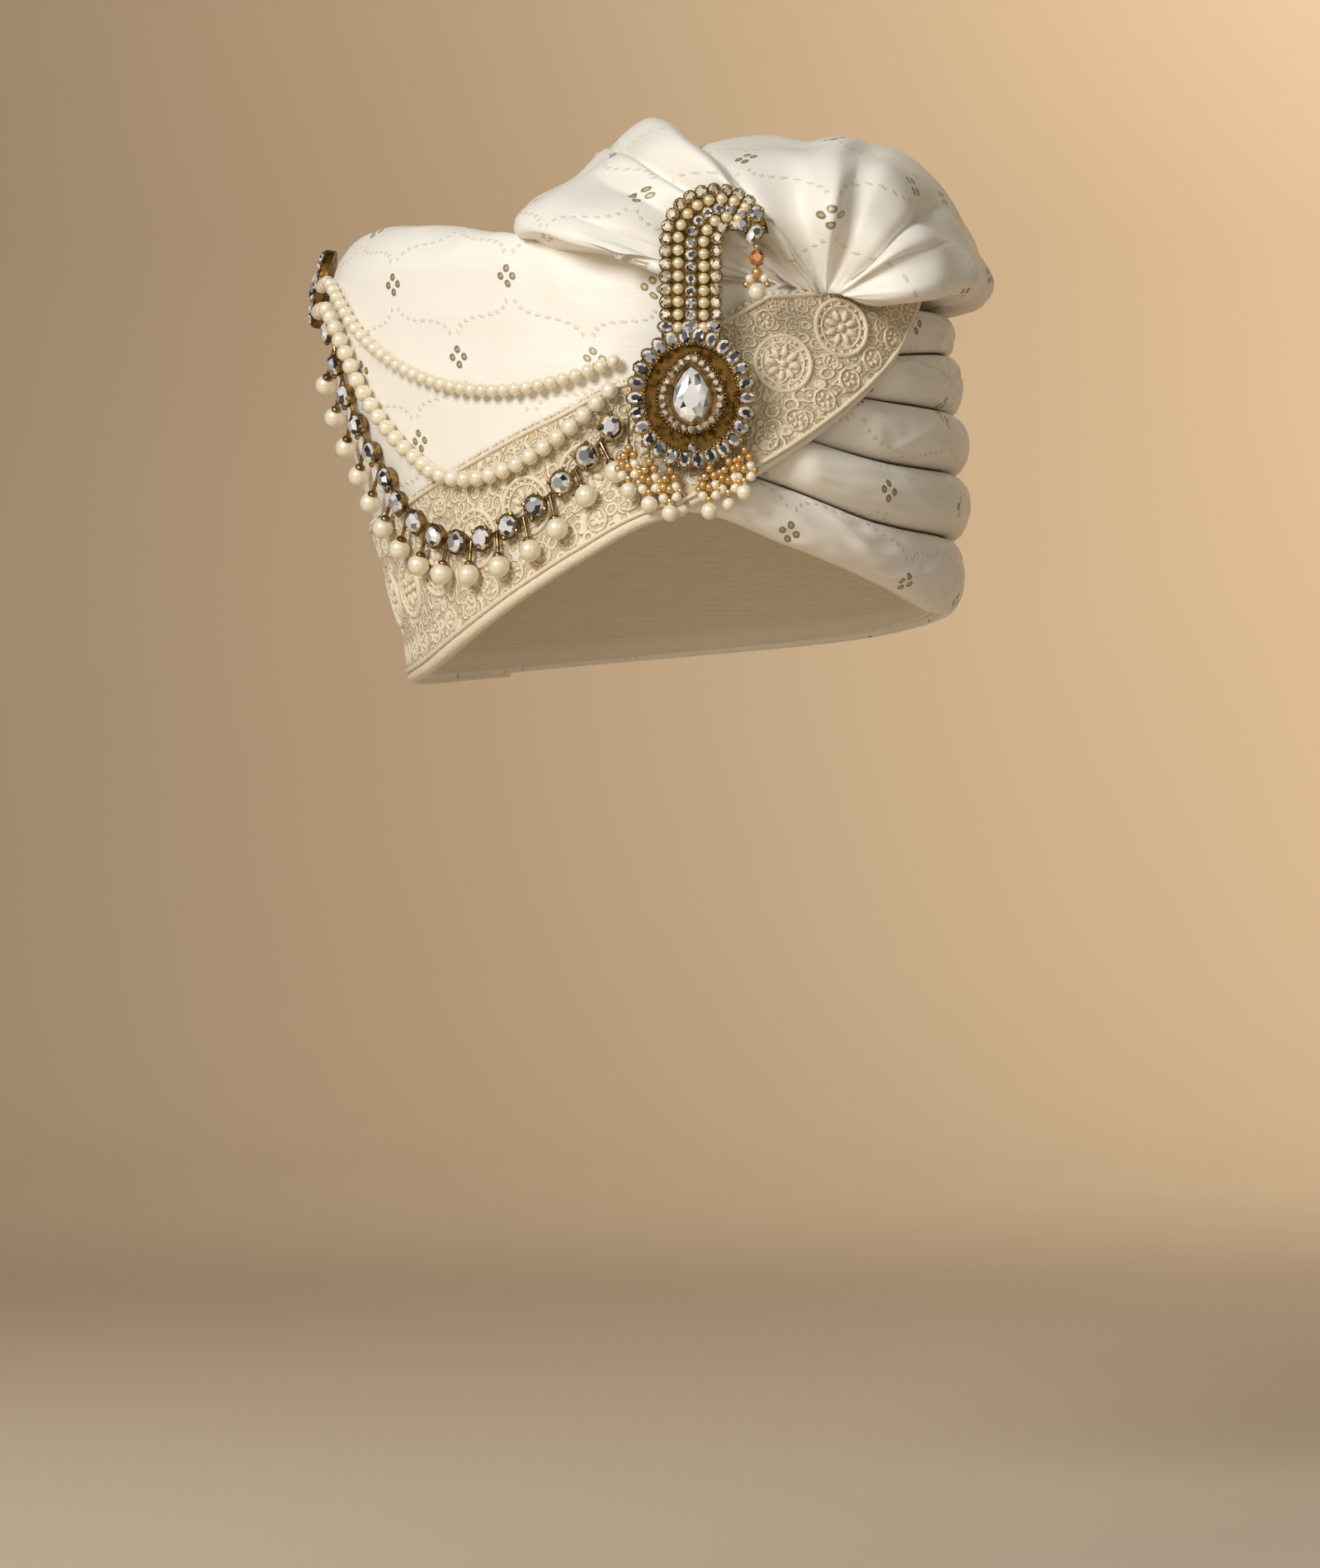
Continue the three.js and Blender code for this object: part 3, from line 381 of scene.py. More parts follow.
# %% Gold
GOLDS = (
    # name, wear patch in mm, hollows, worn tops, roughness in the hollows, roughness of the tops
    # Plated brass rubbed back: brown in the hollows, greyish gold on the tops.
    ("antique_gold_plated_brass", 2.2, "#5f4a2a", "#bd9c62", 0.42, 0.24),
    # Brass for the plates deep between the stones: a deep warm brown with dull gold spots, partly the antique
    # brown of the plating and partly painted shade.
    ("recess_gold_with_painted_shade", 1.6, "#44300f", "#96713a", 0.50, 0.34),
    # Thin bright plating on small beads: a pale gold that mirrors sharp points of light.
    ("polished_pale_gold", 1.8, "#d0a65c", "#f6e3b6", 0.36, 0.22),
)
gold = {}
for name, patch, low, high, dull, bright in GOLDS:
    gold[name], tree = new_finish(name)
    solid = add_node(tree, "ShaderNodeTexCoord", output="Object")
    wear = add_node(tree, "ShaderNodeTexNoise", {"Vector": solid, "Scale": 1 / (patch * MM), "Detail": 3.0})
    rubbed = add_node(tree, "ShaderNodeMapRange", {"Value": wear, "From Min": 0.35, "From Max": 0.68})
    tint = add_node(tree, "ShaderNodeMix", {
        "Factor": rubbed, "A": linear(low), "B": linear(high)}, data_type="RGBA")
    shine = add_node(tree, "ShaderNodeMapRange", {"Value": rubbed, "To Min": dull, "To Max": bright})
    add_node(tree, "ShaderNodeOutputMaterial", {"Surface": add_node(tree, "ShaderNodeBsdfPrincipled", {
        "Base Color": tint, "Metallic": 1.0, "Roughness": shine})})
antique_gold, dark_gold, bright_gold = gold.values()
print("golds:", *gold)

# %% [markdown]
# ## Pearls
# The pearls are glass beads dipped in pearl lacquer. A clear coat lies over a cream body, so they have two
# gloss layers: a soft glow from the body and a sharp point of light from the coat. The Principled shader
# has both, and a faint cloud keeps the beads from looking all alike.

# %% Pearl lacquer
LACQUER_CLOUD_MM = 5.0
LACQUERS = (
    # name, body from, body to, share of metal in the dip
    # Glass dipped in pearl essence: a milky cream body under one sharp white point of light.
    ("cream_pearl_lacquer", "#efdfb8", "#fbf3e0", 0.2),
    # The same dip over an amber tint: honey coloured, darker at the rim.
    ("golden_pearl_lacquer", "#a8742c", "#e6bd74", 0.6),
    # A pale champagne dip: between cream and gold, like old silk.
    ("champagne_pearl_lacquer", "#e2c88f", "#fbeecb", 0.5),
)
lacquer = {}
for name, low, high, metal in LACQUERS:
    lacquer[name], tree = new_finish(name)
    solid = add_node(tree, "ShaderNodeTexCoord", output="Object")
    cloud = add_node(tree, "ShaderNodeTexNoise", {
        "Vector": solid, "Scale": 1 / (LACQUER_CLOUD_MM * MM), "Detail": 1.0})
    tint = add_node(tree, "ShaderNodeMix", {
        "Factor": cloud, "A": linear(low), "B": linear(high)}, data_type="RGBA")
    shine = add_node(tree, "ShaderNodeMapRange", {
        "Value": cloud, "From Min": 0.3, "From Max": 0.7, "To Min": 0.26, "To Max": 0.34})
    add_node(tree, "ShaderNodeOutputMaterial", {"Surface": add_node(tree, "ShaderNodeBsdfPrincipled", {
        "Base Color": tint, "Metallic": metal, "Roughness": shine,
        "Coat Weight": 1.0, "Coat Roughness": 0.08})})
pearl_lacquer, golden_lacquer, champagne_lacquer = lacquer.values()
print("lacquers:", *lacquer)

# %% [markdown]
# ## Stones
# The stones are cut glass with foil behind. Each facet mirrors something else in the room, light or dark,
# which real glass would need many bounces to show. A number stored on every facet does it instead: the
# shader reads it and makes that facet bright or dark, so the sparkle stays in every view.

# %% Foil-backed stones
STONES = (
    # name, darkest painted facet, brightest painted facet
    # Clear glass over silver foil, with painted reflections: white and near-black facets side by side.
    ("foil_backed_crystal", "#242226", "#ffffff"),
    # Smoky glass over gold foil: the same painted sparkle in warm greys.
    ("foil_backed_champagne", "#4a3a24", "#f6ead2"),
    # Amber glass over gold foil: brown, with a painted glow on the lit facets.
    ("foil_backed_amber", "#54240c", "#d99a5a"),
)
stone_finish = {}
for name, low, high in STONES:
    stone_finish[name], tree = new_finish(name)
    facet = add_node(tree, "ShaderNodeAttribute", output="Fac", attribute_name="facet")
    lit = add_node(tree, "ShaderNodeMapRange", {
        "Value": facet, "From Min": 0.15, "From Max": 0.7}, interpolation_type="SMOOTHSTEP")
    tint = add_node(tree, "ShaderNodeMix", {
        "Factor": lit, "A": linear(low), "B": linear(high)}, data_type="RGBA")
    shine = add_node(tree, "ShaderNodeMapRange", {"Value": facet, "To Min": 0.14, "To Max": 0.06})
    add_node(tree, "ShaderNodeOutputMaterial", {"Surface": add_node(tree, "ShaderNodeBsdfPrincipled", {
        "Base Color": tint, "Metallic": 0.35, "Roughness": shine,
        "Coat Weight": 1.0, "Coat Roughness": 0.03})})
crystal, champagne, amber = stone_finish.values()
print("stones:", *stone_finish)

# %% [markdown]
# ## Measures of the turban
# All shapes are read from short tables in millimetres and degrees. Angles run round the head from the
# front, positive to the right. A smooth curve through the rows of a table gives the values between them,
# and one function turns an angle, a distance from the head and a height into a place.

# %% Tables and places
HEAD_HALF_WIDTH = 77.5
HEAD_HALF_DEPTH = 97.5
RIM = {
    "angle": [-180, -135, -100, -70, -51, -21, 0, 22, 45, 66, 90, 135, 180, 225],
    "height": [-2, -8, -11, -9.5, -0.5, 22, 35, 25.7, 15.6, 8.5, 8.5, 3, -2, -8],
}


def read(table, key, column, place):
    """One column of a table at places between its rows, on a smooth curve through them."""
    knots = np.array(table[key], float)
    values = np.array(table[column], float)
    at = np.clip(place, knots[0], knots[-1])
    row = np.clip(np.searchsorted(knots, at) - 1, 0, len(knots) - 2)
    rows = np.arange(len(knots))
    before, after = np.maximum(rows - 1, 0), np.minimum(rows + 1, len(knots) - 1)
    slope = (values[after] - values[before]) / (knots[after] - knots[before])
    width = knots[row + 1] - knots[row]
    t = (at - knots[row]) / width
    rise = values[row + 1] - values[row]
    bend = (slope[row] * width - rise) * (1 - t) + (rise - slope[row + 1] * width) * t
    return values[row] + rise * t + t * (1 - t) * bend


def blend(start, end, share):
    return start + (end - start) * share


def smooth_step(value, start, end):
    t = np.clip((value - start) / (end - start), 0, 1)
    return t * t * (3 - 2 * t)


def around(angle, offset, height):
    """Places at an angle round the head, a distance off it and a height, in millimetres."""
    turn = np.radians(angle)
    x = (HEAD_HALF_WIDTH + offset) * np.sin(turn)
    y = -(HEAD_HALF_DEPTH + offset) * np.cos(turn)
    return np.stack(np.broadcast_arrays(x, y, height), axis=-1)


def unit(vectors):
    return vectors / np.maximum(np.linalg.norm(vectors, axis=-1, keepdims=True), 1e-9)


print("brow height:", float(read(RIM, "angle", "height", 0)), "mm")

# %% [markdown]
# ## From a grid of places to cloth
# A sheet of cloth is made as a grid of points with a UV map in metres, measured along the cloth
# itself, so the printed pattern neither stretches nor shrinks. A Solidify modifier then gives the sheet
# its real thickness. Small ripples are pushed into the grid along its own normals before that.

# %% Measuring cloth
pieces = {}


def keep(piece, slot, *nodes):
    """Notes a finished piece with the record's slot and the nodes that it stands for."""
    pieces[piece.name] = (piece, slot, nodes)
    faces = sum(len(polygon.vertices) - 2 for polygon in piece.data.polygons)
    print(f"{piece.name}: {faces} triangles")
    return piece


def link(name, mesh, finish):
    piece = bpy.data.objects.new(name, mesh)
    mesh.materials.clear()
    mesh.materials.append(finish)
    scene.collection.objects.link(piece)
    return piece


def normals_of(grid):
    return unit(np.cross(np.gradient(grid, axis=0), np.gradient(grid, axis=1)))


def travelled(grid, axis):
    """Distance along the grid from its first row or column, in millimetres."""
    steps = np.linalg.norm(np.diff(grid, axis=axis), axis=-1)
    first = np.zeros_like(np.take(steps, [0], axis=axis))
    return np.concatenate([first, np.cumsum(steps, axis=axis)], axis=axis)


def cloth_uv(grid):
    """Metres along and up the sheet at each grid point."""
    along = np.broadcast_to(travelled(grid, 0).mean(axis=1, keepdims=True), grid.shape[:2])
    return np.stack([along, travelled(grid, 1)], axis=-1) * MM


def ripples(a, b, seed, waves=7):
    """A soft random swell between about -1 and 1 over two coordinates in swell lengths."""
    rng = np.random.default_rng(seed)
    total = np.zeros(np.broadcast(a, b).shape)
    for _ in range(waves):
        heading, phase, size = rng.uniform(0, np.pi), rng.uniform(0, 2 * np.pi), rng.uniform(0.7, 1.6)
        total += np.sin(2 * np.pi * size * (a * np.cos(heading) + b * np.sin(heading)) + phase)
    return total / math.sqrt(waves)


print("a piece is noted with its slot and nodes, and cloth is measured along itself")

# %% [markdown]
# ## A grid becomes a mesh
# Four neighbours in the grid make a face. Whether the faces look outwards depends on the way the grid
# runs, so their normals are compared with the direction from a point inside, and turned round if needed.
# Points that fall on the same place, as at the top of the cap, are welded afterwards.


# %% Cloth from a grid
def grid_mesh(name, grid, uv, closed=False, inside=(0, 0, 60)):
    """A mesh of quads over a grid in millimetres, with faces turned away from a point inside."""
    columns, rows = grid.shape[:2]
    count = columns - 1 if closed else columns
    i, j = np.meshgrid(np.arange(columns - 1), np.arange(rows - 1), indexing="ij")
    corners = [(i, j), (i + 1, j), (i + 1, j + 1), (i, j + 1)]
    quads = np.stack([(a % count) * rows + b for a, b in corners], axis=-1).reshape(-1, 4)
    middle = grid[:-1, :-1] - np.array(inside)
    if (normals_of(grid)[:-1, :-1] * middle).sum() < 0:
        quads = quads[:, ::-1]
        corners = corners[::-1]
    mesh = bpy.data.meshes.new(name)
    mesh.from_pydata((grid[:count].reshape(-1, 3) * MM).tolist(), [], quads.tolist())
    layer = mesh.uv_layers.new(name="cloth")
    layer.data.foreach_set("uv", np.stack([uv[a, b] for a, b in corners], axis=2).ravel())
    mesh.polygons.foreach_set("use_smooth", np.ones(len(quads), bool))
    welder = bmesh.new()
    welder.from_mesh(mesh)
    bmesh.ops.remove_doubles(welder, verts=welder.verts, dist=0.02 * MM)
    welder.to_mesh(mesh)
    welder.free()
    return mesh


def cloth(name, grid, uv, finish, wall, **ways):
    """A sheet over a grid, with its thickness in millimetres inwards from it."""
    piece = link(name, grid_mesh(name, grid, uv, **ways), finish)
    solid = piece.modifiers.new("cloth_thickness", "SOLIDIFY")
    solid.thickness = wall * MM
    solid.offset = -1
    return piece


print("grids can be made cloth")

# %% [markdown]
# ## Under wrap
# The first turns of the cloth make a plain cap that carries everything else. Little of it shows: the
# band inside the brow, and the hollow from below. It is one grid turned round the head, from the rim up
# to a flat dome.

# %% Under wrap
CAP = {"wall": 3.0, "height": 114.0, "squareness": 6.0, "climb": 0.9, "rim_lift": 2.0}
angle, up = np.meshgrid(np.linspace(-180, 180, 145), np.linspace(0, 1, 40), indexing="ij")
rim = read(RIM, "angle", "height", angle) + CAP["rim_lift"]
height = blend(rim, CAP["height"], np.where(up == 1, 1, np.sin(up * np.pi / 2) ** CAP["climb"]))
share = np.clip(height / CAP["height"], 0, 1)
shrink = np.where(up == 1, 0, (1 - share ** CAP["squareness"]) ** (1 / CAP["squareness"]))
grid = around(angle, CAP["wall"], height)
grid[..., :2] *= shrink[..., None]
uv = cloth_uv(around(angle, CAP["wall"], height))
under_wrap = cloth("under_wrap_cloth", grid, uv, ivory_reverse, CAP["wall"], closed=True)
keep(under_wrap, "ivory_cloth", "under_wrap")

# %% [markdown]
# ## Front panel
# The panel is one smooth width of cloth drawn from the back left across the brow and up to the right.
# It flares out at the left, turns over in a soft fold along its top and runs back under the crown. It could
# be sculpted, but tables of its edge, its ribs and its shoulder keep it where the frame has it.

# %% Measures of the front panel
PANEL = {
    "wall": 2.0, "seat": 3.6, "flare": 27.0, "flare_angle": -92.0, "flare_spread": 36.0,
    "flare_foot": -10.0, "flare_ease": 1.5, "front_standoff": 6.6, "rear_standoff": 7.5,
    "rear_from": -138.0, "rear_to": -112.0, "standoff_reach": 30.0,
    "rise_rows": 7.0, "fold_rows": 4.0, "ledge_rows": 2.0,
}
DIAGONAL = {
    "angle": [0, 14, 27, 37, 45, 50, 53],
    "height": [35.5, 46, 59, 71, 83, 95, 104],
}
RIBS = {
    "at": [0, 0.25, 0.45, 0.65, 0.8, 0.92, 1],
    "edge": [-141, -92, -54, -16, 14, 37, 53],
    "shoulder": [-141, -92, -60, -30, -5, 12, 40],
}
SHOULDER = {
    "angle": [-141, -115, -92, -74, -58, -45, -36, -24, 0, 25, 40],
    "height": [99, 103, 106, 107, 108, 108, 106, 102, 99, 100, 104],
    "fold_in": [9, 15, 19.5, 17, 13, 9, 6, 5, 4, 3, 2],
    "fold_up": [5, 16, 23, 20.5, 16.5, 13, 13, 13, 11, 6, 3],
    "ledge": [14, 28, 38, 34, 18, 7, 2, 1.5, 1.5, 1.5, 1],
    "fall": [9, 9, 11, 9, 6, 4, 2, 1.5, 1.5, 1.5, 1],
}
print("shoulder of the panel:", len(SHOULDER["angle"]), "places")

# %% [markdown]
# ## The panel's surface
# One function says how far the cloth stands off the head at an angle and a height. A second one follows
# a rib from the lower edge up to the shoulder, round the fold, which is a quarter of an ellipse, and back
# along the ledge. The lace and the strings ask the same functions where the panel is, so they lie on it.


# %% Shape of the front panel
def shoulder(column, angle):
    return read(SHOULDER, "angle", column, angle)


def panel_rise(angle, height):
    """How far the outer face stands off the head below the shoulder."""
    foot = PANEL["flare_foot"]
    climb = np.clip((height - foot) / (shoulder("height", angle) - foot), 0, 1)
    spread = (angle - PANEL["flare_angle"]) / PANEL["flare_spread"]
    flare = PANEL["flare"] * np.exp(-spread ** 2) * np.sin(climb * np.pi / 2) ** PANEL["flare_ease"]
    to_edge = np.clip(read(DIAGONAL, "height", "angle", height) - angle, 0, 90)
    front = PANEL["front_standoff"] * (1 - smooth_step(to_edge, 0, PANEL["standoff_reach"]))
    rear = PANEL["rear_standoff"] * (1 - smooth_step(angle, PANEL["rear_from"], PANEL["rear_to"]))
    return PANEL["seat"] + PANEL["wall"] + flare + front + rear


def panel_face(angle, height):
    """Places on the outer face up to the ridge of the fold."""
    crest = shoulder("height", angle)
    share = np.clip((height - crest) / shoulder("fold_up", angle), 0, 1)
    turned_in = shoulder("fold_in", angle) * (1 - np.sqrt(1 - share ** 2))
    return around(angle, panel_rise(angle, np.minimum(height, crest)) - turned_in, height)


def panel_grid(along, step):
    """Places along the ribs: the rise, the fold over the top and the ledge behind it."""
    foot = read(RIBS, "at", "edge", along)
    top = read(RIBS, "at", "shoulder", along)
    edge = np.where(foot <= 0, read(RIM, "angle", "height", foot), read(DIAGONAL, "angle", "height", foot))
    crest = shoulder("height", top)
    up = np.clip(step / PANEL["rise_rows"], 0, 1)
    turn = np.clip((step - PANEL["rise_rows"]) / PANEL["fold_rows"], 0, 1) * np.pi / 2
    back = np.clip((step - PANEL["rise_rows"] - PANEL["fold_rows"]) / PANEL["ledge_rows"], 0, 1)
    angle = blend(foot, top, up)
    rising = blend(edge, crest, up)
    height = rising + shoulder("fold_up", top) * np.sin(turn) - shoulder("fall", top) * back ** 2
    turned_in = shoulder("fold_in", top) * (1 - np.cos(turn)) + shoulder("ledge", top) * back
    return around(angle, panel_rise(angle, rising) - turned_in, height)


print("panel at the left stands off", round(float(panel_rise(PANEL["flare_angle"], 100)), 1), "mm")

# %% [markdown]
# ## The panel's cloth
# A grid of ribs and steps is filled from those functions. Its UV map starts at the front rib, so that
# the sprigs fall where they should on the front. A faint swell, smaller than half a millimetre, keeps the
# cloth from looking moulded. It only ever sinks, so nothing that lies on the panel is cut.

# %% Front panel
PANEL_PRINT = np.array([0.004, 0.012])
FRONT_RIB = 0.62
SWELL = {"long": 0.05, "wide": 0.04, "deep": 0.45}
PANEL_ROWS = PANEL["rise_rows"] + PANEL["fold_rows"] + PANEL["ledge_rows"]
along, step = np.meshgrid(np.linspace(0, 1, 200), np.linspace(0, PANEL_ROWS, 96), indexing="ij")
grid = panel_grid(along, step)
level = grid[:, :1, 2] + travelled(grid, 1)
round_the_head = travelled(grid, 0)
front_rib = np.argmin(np.abs(along[:, 0] - FRONT_RIB))
uv = np.stack([round_the_head - round_the_head[front_rib], level], axis=-1) * MM + PANEL_PRINT
swell = ripples(uv[..., 0] / SWELL["long"], uv[..., 1] / SWELL["wide"], seed=3) * smooth_step(step, 1.5, 6)
sunk = np.abs(swell) * SWELL["deep"] * np.sign((normals_of(grid) * grid).sum())
grid = grid - normals_of(grid) * sunk[..., None]
front_panel = cloth("front_panel_cloth", grid, uv, ivory_satin, PANEL["wall"])
keep(front_panel, "ivory_cloth", "front_panel")

# %% [markdown]
# ## Growing things on paths and points
# Pearls, stones, cups, cords and stitches all repeat, so Geometry Nodes make them. A tree takes a seed
# mesh: a line to follow or loose points, each with the direction out of the cloth stored on it. It puts
# one small shape on each point and turns the instances into real faces.


# %% New trees
def new_tree(name, sizes):
    """A node tree with a geometry in and out and named sizes. Returns it and its inputs."""
    tree = bpy.data.node_groups.new(name, "GeometryNodeTree")
    tree.interface.new_socket(name="Seed", in_out="INPUT", socket_type="NodeSocketGeometry")
    for size, value in sizes.items():
        kind = "NodeSocketInt" if isinstance(value, int) else "NodeSocketFloat"
        tree.interface.new_socket(name=size, in_out="INPUT", socket_type=kind).default_value = value
    tree.interface.new_socket(name="Made", in_out="OUTPUT", socket_type="NodeSocketGeometry")
    return tree, add_node(tree, "NodeGroupInput").node.outputs


def close_tree(tree, made, smooth=True):
    """Realizes the instances, shades them and ends the tree."""
    solid = add_node(tree, "GeometryNodeRealizeInstances", {"Geometry": made})
    shaded = add_node(tree, "GeometryNodeSetShadeSmooth", {"Geometry": solid, "Shade Smooth": smooth})
    add_node(tree, "NodeGroupOutput", {0: shaded})


print("a tree starts with a seed and ends with plain faces")

# %% [markdown]
# ## Seeds
# A seed is a mesh without faces. Directions and sizes are stored on its points as named attributes, which
# the trees read back. Running a tree on a seed gives a plain mesh, and the seed is thrown away, so that
# no modifier is left on the piece.


# %% Seeds and growing
def seed_mesh(points, edges=(), **fields):
    """Loose points or lines in millimetres, with vector fields stored on the points."""
    mesh = bpy.data.meshes.new("seed")
    mesh.from_pydata((np.asarray(points, float) * MM).tolist(), list(edges), [])
    for name, values in fields.items():
        values = np.broadcast_to(np.asarray(values, float), (len(points), 3))
        mesh.attributes.new(name, "FLOAT_VECTOR", "POINT").data.foreach_set("vector", values.ravel())
    return mesh


def path_seed(paths, outs):
    """One line for each path, with the direction out of the cloth at each point."""
    edges = []
    first = 0
    for path in paths:
        edges += [(first + step, first + step + 1) for step in range(len(path) - 1)]
        first += len(path)
    return seed_mesh(np.concatenate(paths), edges, out=np.concatenate(outs))


def grow(name, seed, tree, finish, **sizes):
    """Runs a tree on a seed and keeps the result as a plain mesh with its finish."""
    carrier = bpy.data.objects.new(name + "_seed", seed)
    scene.collection.objects.link(carrier)
    modifier = carrier.modifiers.new("grow", "NODES")
    modifier.node_group = tree
    for item in tree.interface.items_tree:
        if item.in_out == "INPUT" and item.name in sizes:
            modifier[item.identifier] = sizes[item.name]
    evaluated = carrier.evaluated_get(bpy.context.evaluated_depsgraph_get())
    mesh = bpy.data.meshes.new_from_object(evaluated)
    mesh.name = name
    bpy.data.objects.remove(carrier)
    return link(name, mesh, finish)


print("seeds can be grown")

# %% [markdown]
# ## Cords and beads
# The first tree sweeps a circle along a line and makes hems, cords and wires. The second puts a ball on
# every point, at the size stored there. The third strings balls along a line at an even pitch. A shared
# helper turns each ball or stone so that it faces out of the cloth and points along its line.


# %% Trees for cords and beads
def set_on_seed(tree, given, shape):
    """Puts a shape on each point of the seed, turned and sized by what is stored there."""
    out, ahead, size = [
        add_node(tree, "GeometryNodeInputNamedAttribute", {"Name": field}, data_type="FLOAT_VECTOR")
        for field in ("out", "ahead", "size")]
    upright = add_node(tree, "FunctionNodeAlignRotationToVector", {"Vector": out}, axis="Z")
    turned = add_node(tree, "FunctionNodeAlignRotationToVector", {
        "Rotation": upright, "Vector": ahead}, axis="X", pivot_axis="Z")
    return add_node(tree, "GeometryNodeInstanceOnPoints", {
        "Points": given["Seed"], "Instance": shape, "Rotation": turned, "Scale": size})


cord_tree, given = new_tree("round_cord", {"Radius": 0.001, "Sides": 8})
line = add_node(cord_tree, "GeometryNodeMeshToCurve", {"Mesh": given["Seed"]})
section = add_node(cord_tree, "GeometryNodeCurvePrimitiveCircle", {
    "Resolution": given["Sides"], "Radius": given["Radius"]})
swept = add_node(cord_tree, "GeometryNodeCurveToMesh", {
    "Curve": line, "Profile Curve": section, "Fill Caps": True})
close_tree(cord_tree, swept)

bead_tree, given = new_tree("beads_on_points", {"Segments": 12, "Rings": 8})
ball = add_node(bead_tree, "GeometryNodeMeshUVSphere", {
    "Segments": given["Segments"], "Rings": given["Rings"], "Radius": 0.5})
close_tree(bead_tree, set_on_seed(bead_tree, given, ball))

strung_tree, given = new_tree("strung_beads", {"Bead": 0.005, "Pitch": 0.005, "Segments": 16, "Rings": 10})
line = add_node(strung_tree, "GeometryNodeMeshToCurve", {"Mesh": given["Seed"]})
stops = add_node(strung_tree, "GeometryNodeResampleCurve", {
    "Curve": line, "Length": given["Pitch"]}, mode="LENGTH")
ball = add_node(strung_tree, "GeometryNodeMeshUVSphere", {
    "Segments": given["Segments"], "Rings": given["Rings"], "Radius": 0.5})
pointing = add_node(strung_tree, "FunctionNodeAlignRotationToVector", {
    "Vector": add_node(strung_tree, "GeometryNodeInputTangent")}, axis="Z")
strung = add_node(strung_tree, "GeometryNodeInstanceOnPoints", {
    "Points": stops, "Instance": ball, "Rotation": pointing, "Scale": given["Bead"]})
close_tree(strung_tree, strung)
print("trees:", [group.name for group in bpy.data.node_groups])

# %% [markdown]
# ## Stones and cups
# A cut stone is two short cones on each other, turned against each other by half a facet, with a flat
# table on top. A random number is stored on each of its faces for the shader. A cup is a cone that opens
# upwards, with claws round its rim. Both have only a few dozen faces, because they repeat a hundred times.

# %% Trees for stones and cups
stone_tree, given = new_tree("faceted_stones", {"Sides": 8, "Shuffle": 1, "Table": 0.5})
girdle = add_node(stone_tree, "GeometryNodeMeshCone", {
    "Vertices": given["Sides"], "Radius Top": 0.42, "Radius Bottom": 0.5, "Depth": 0.5})
star = add_node(stone_tree, "GeometryNodeMeshCone", {
    "Vertices": given["Sides"], "Radius Top": 0.24, "Radius Bottom": 0.42, "Depth": 0.5})
tabled = add_node(stone_tree, "GeometryNodeStoreNamedAttribute", {
    "Geometry": star, "Name": "table", "Value": star.node.outputs["Top"]}, data_type="FLOAT", domain="FACE")
raised = add_node(stone_tree, "GeometryNodeTransform", {
    "Geometry": tabled, "Translation": (0, 0, 0.5), "Rotation": (0, 0, math.radians(22.5))})
cut = add_node(stone_tree, "GeometryNodeJoinGeometry", {"Geometry": [girdle, raised]})
solid = add_node(stone_tree, "GeometryNodeRealizeInstances", {
    "Geometry": set_on_seed(stone_tree, given, cut)})
chance = add_node(stone_tree, "FunctionNodeRandomValue", {"Seed": given["Shuffle"]}, data_type="FLOAT")
table = add_node(stone_tree, "GeometryNodeInputNamedAttribute", {"Name": "table"}, data_type="FLOAT")
# The table facet is given a brighter number: a painted highlight on the top of the stone.
table_painted_reflection = add_node(stone_tree, "ShaderNodeMath", {
    0: chance, 1: 0.35, 2: given["Table"]}, operation="MULTIPLY_ADD")
lit = add_node(stone_tree, "ShaderNodeMix", {"Factor": table, "A": chance, "B": table_painted_reflection})
faceted = add_node(stone_tree, "GeometryNodeStoreNamedAttribute", {
    "Geometry": solid, "Name": "facet", "Value": lit}, data_type="FLOAT", domain="FACE")
close_tree(stone_tree, faceted, smooth=False)

cup_tree, given = new_tree("claw_cups", {"Sides": 16, "Claws": 4, "Claw": 0.16})
bowl = add_node(cup_tree, "GeometryNodeMeshCone", {
    "Vertices": given["Sides"], "Radius Top": 0.5, "Radius Bottom": 0.4, "Depth": 1.0})
corners = add_node(cup_tree, "GeometryNodeMeshCircle", {"Vertices": given["Claws"], "Radius": 0.47})
claw = add_node(cup_tree, "GeometryNodeMeshUVSphere", {"Segments": 6, "Rings": 4, "Radius": given["Claw"]})
claws = add_node(cup_tree, "GeometryNodeInstanceOnPoints", {
    "Points": corners, "Instance": claw, "Scale": (0.7, 0.7, 2.2)})
at_rim = add_node(cup_tree, "GeometryNodeTransform", {
    "Geometry": claws, "Translation": (0, 0, 1.0), "Rotation": (0, 0, math.radians(45))})
cup = add_node(cup_tree, "GeometryNodeJoinGeometry", {"Geometry": [bowl, at_rim]})
close_tree(cup_tree, set_on_seed(cup_tree, given, cup), smooth=False)
print("trees:", len(bpy.data.node_groups))

# %% [markdown]
# ## Panel hem
# The panel's lower edge is turned in and stitched, so it reads as a soft round fold of about three
# millimetres. Over the brow it is bound with the lace's own edge, and on the diagonal it is plain ivory.
# A cord swept along the edge gives both, and the lace stops just short of them.

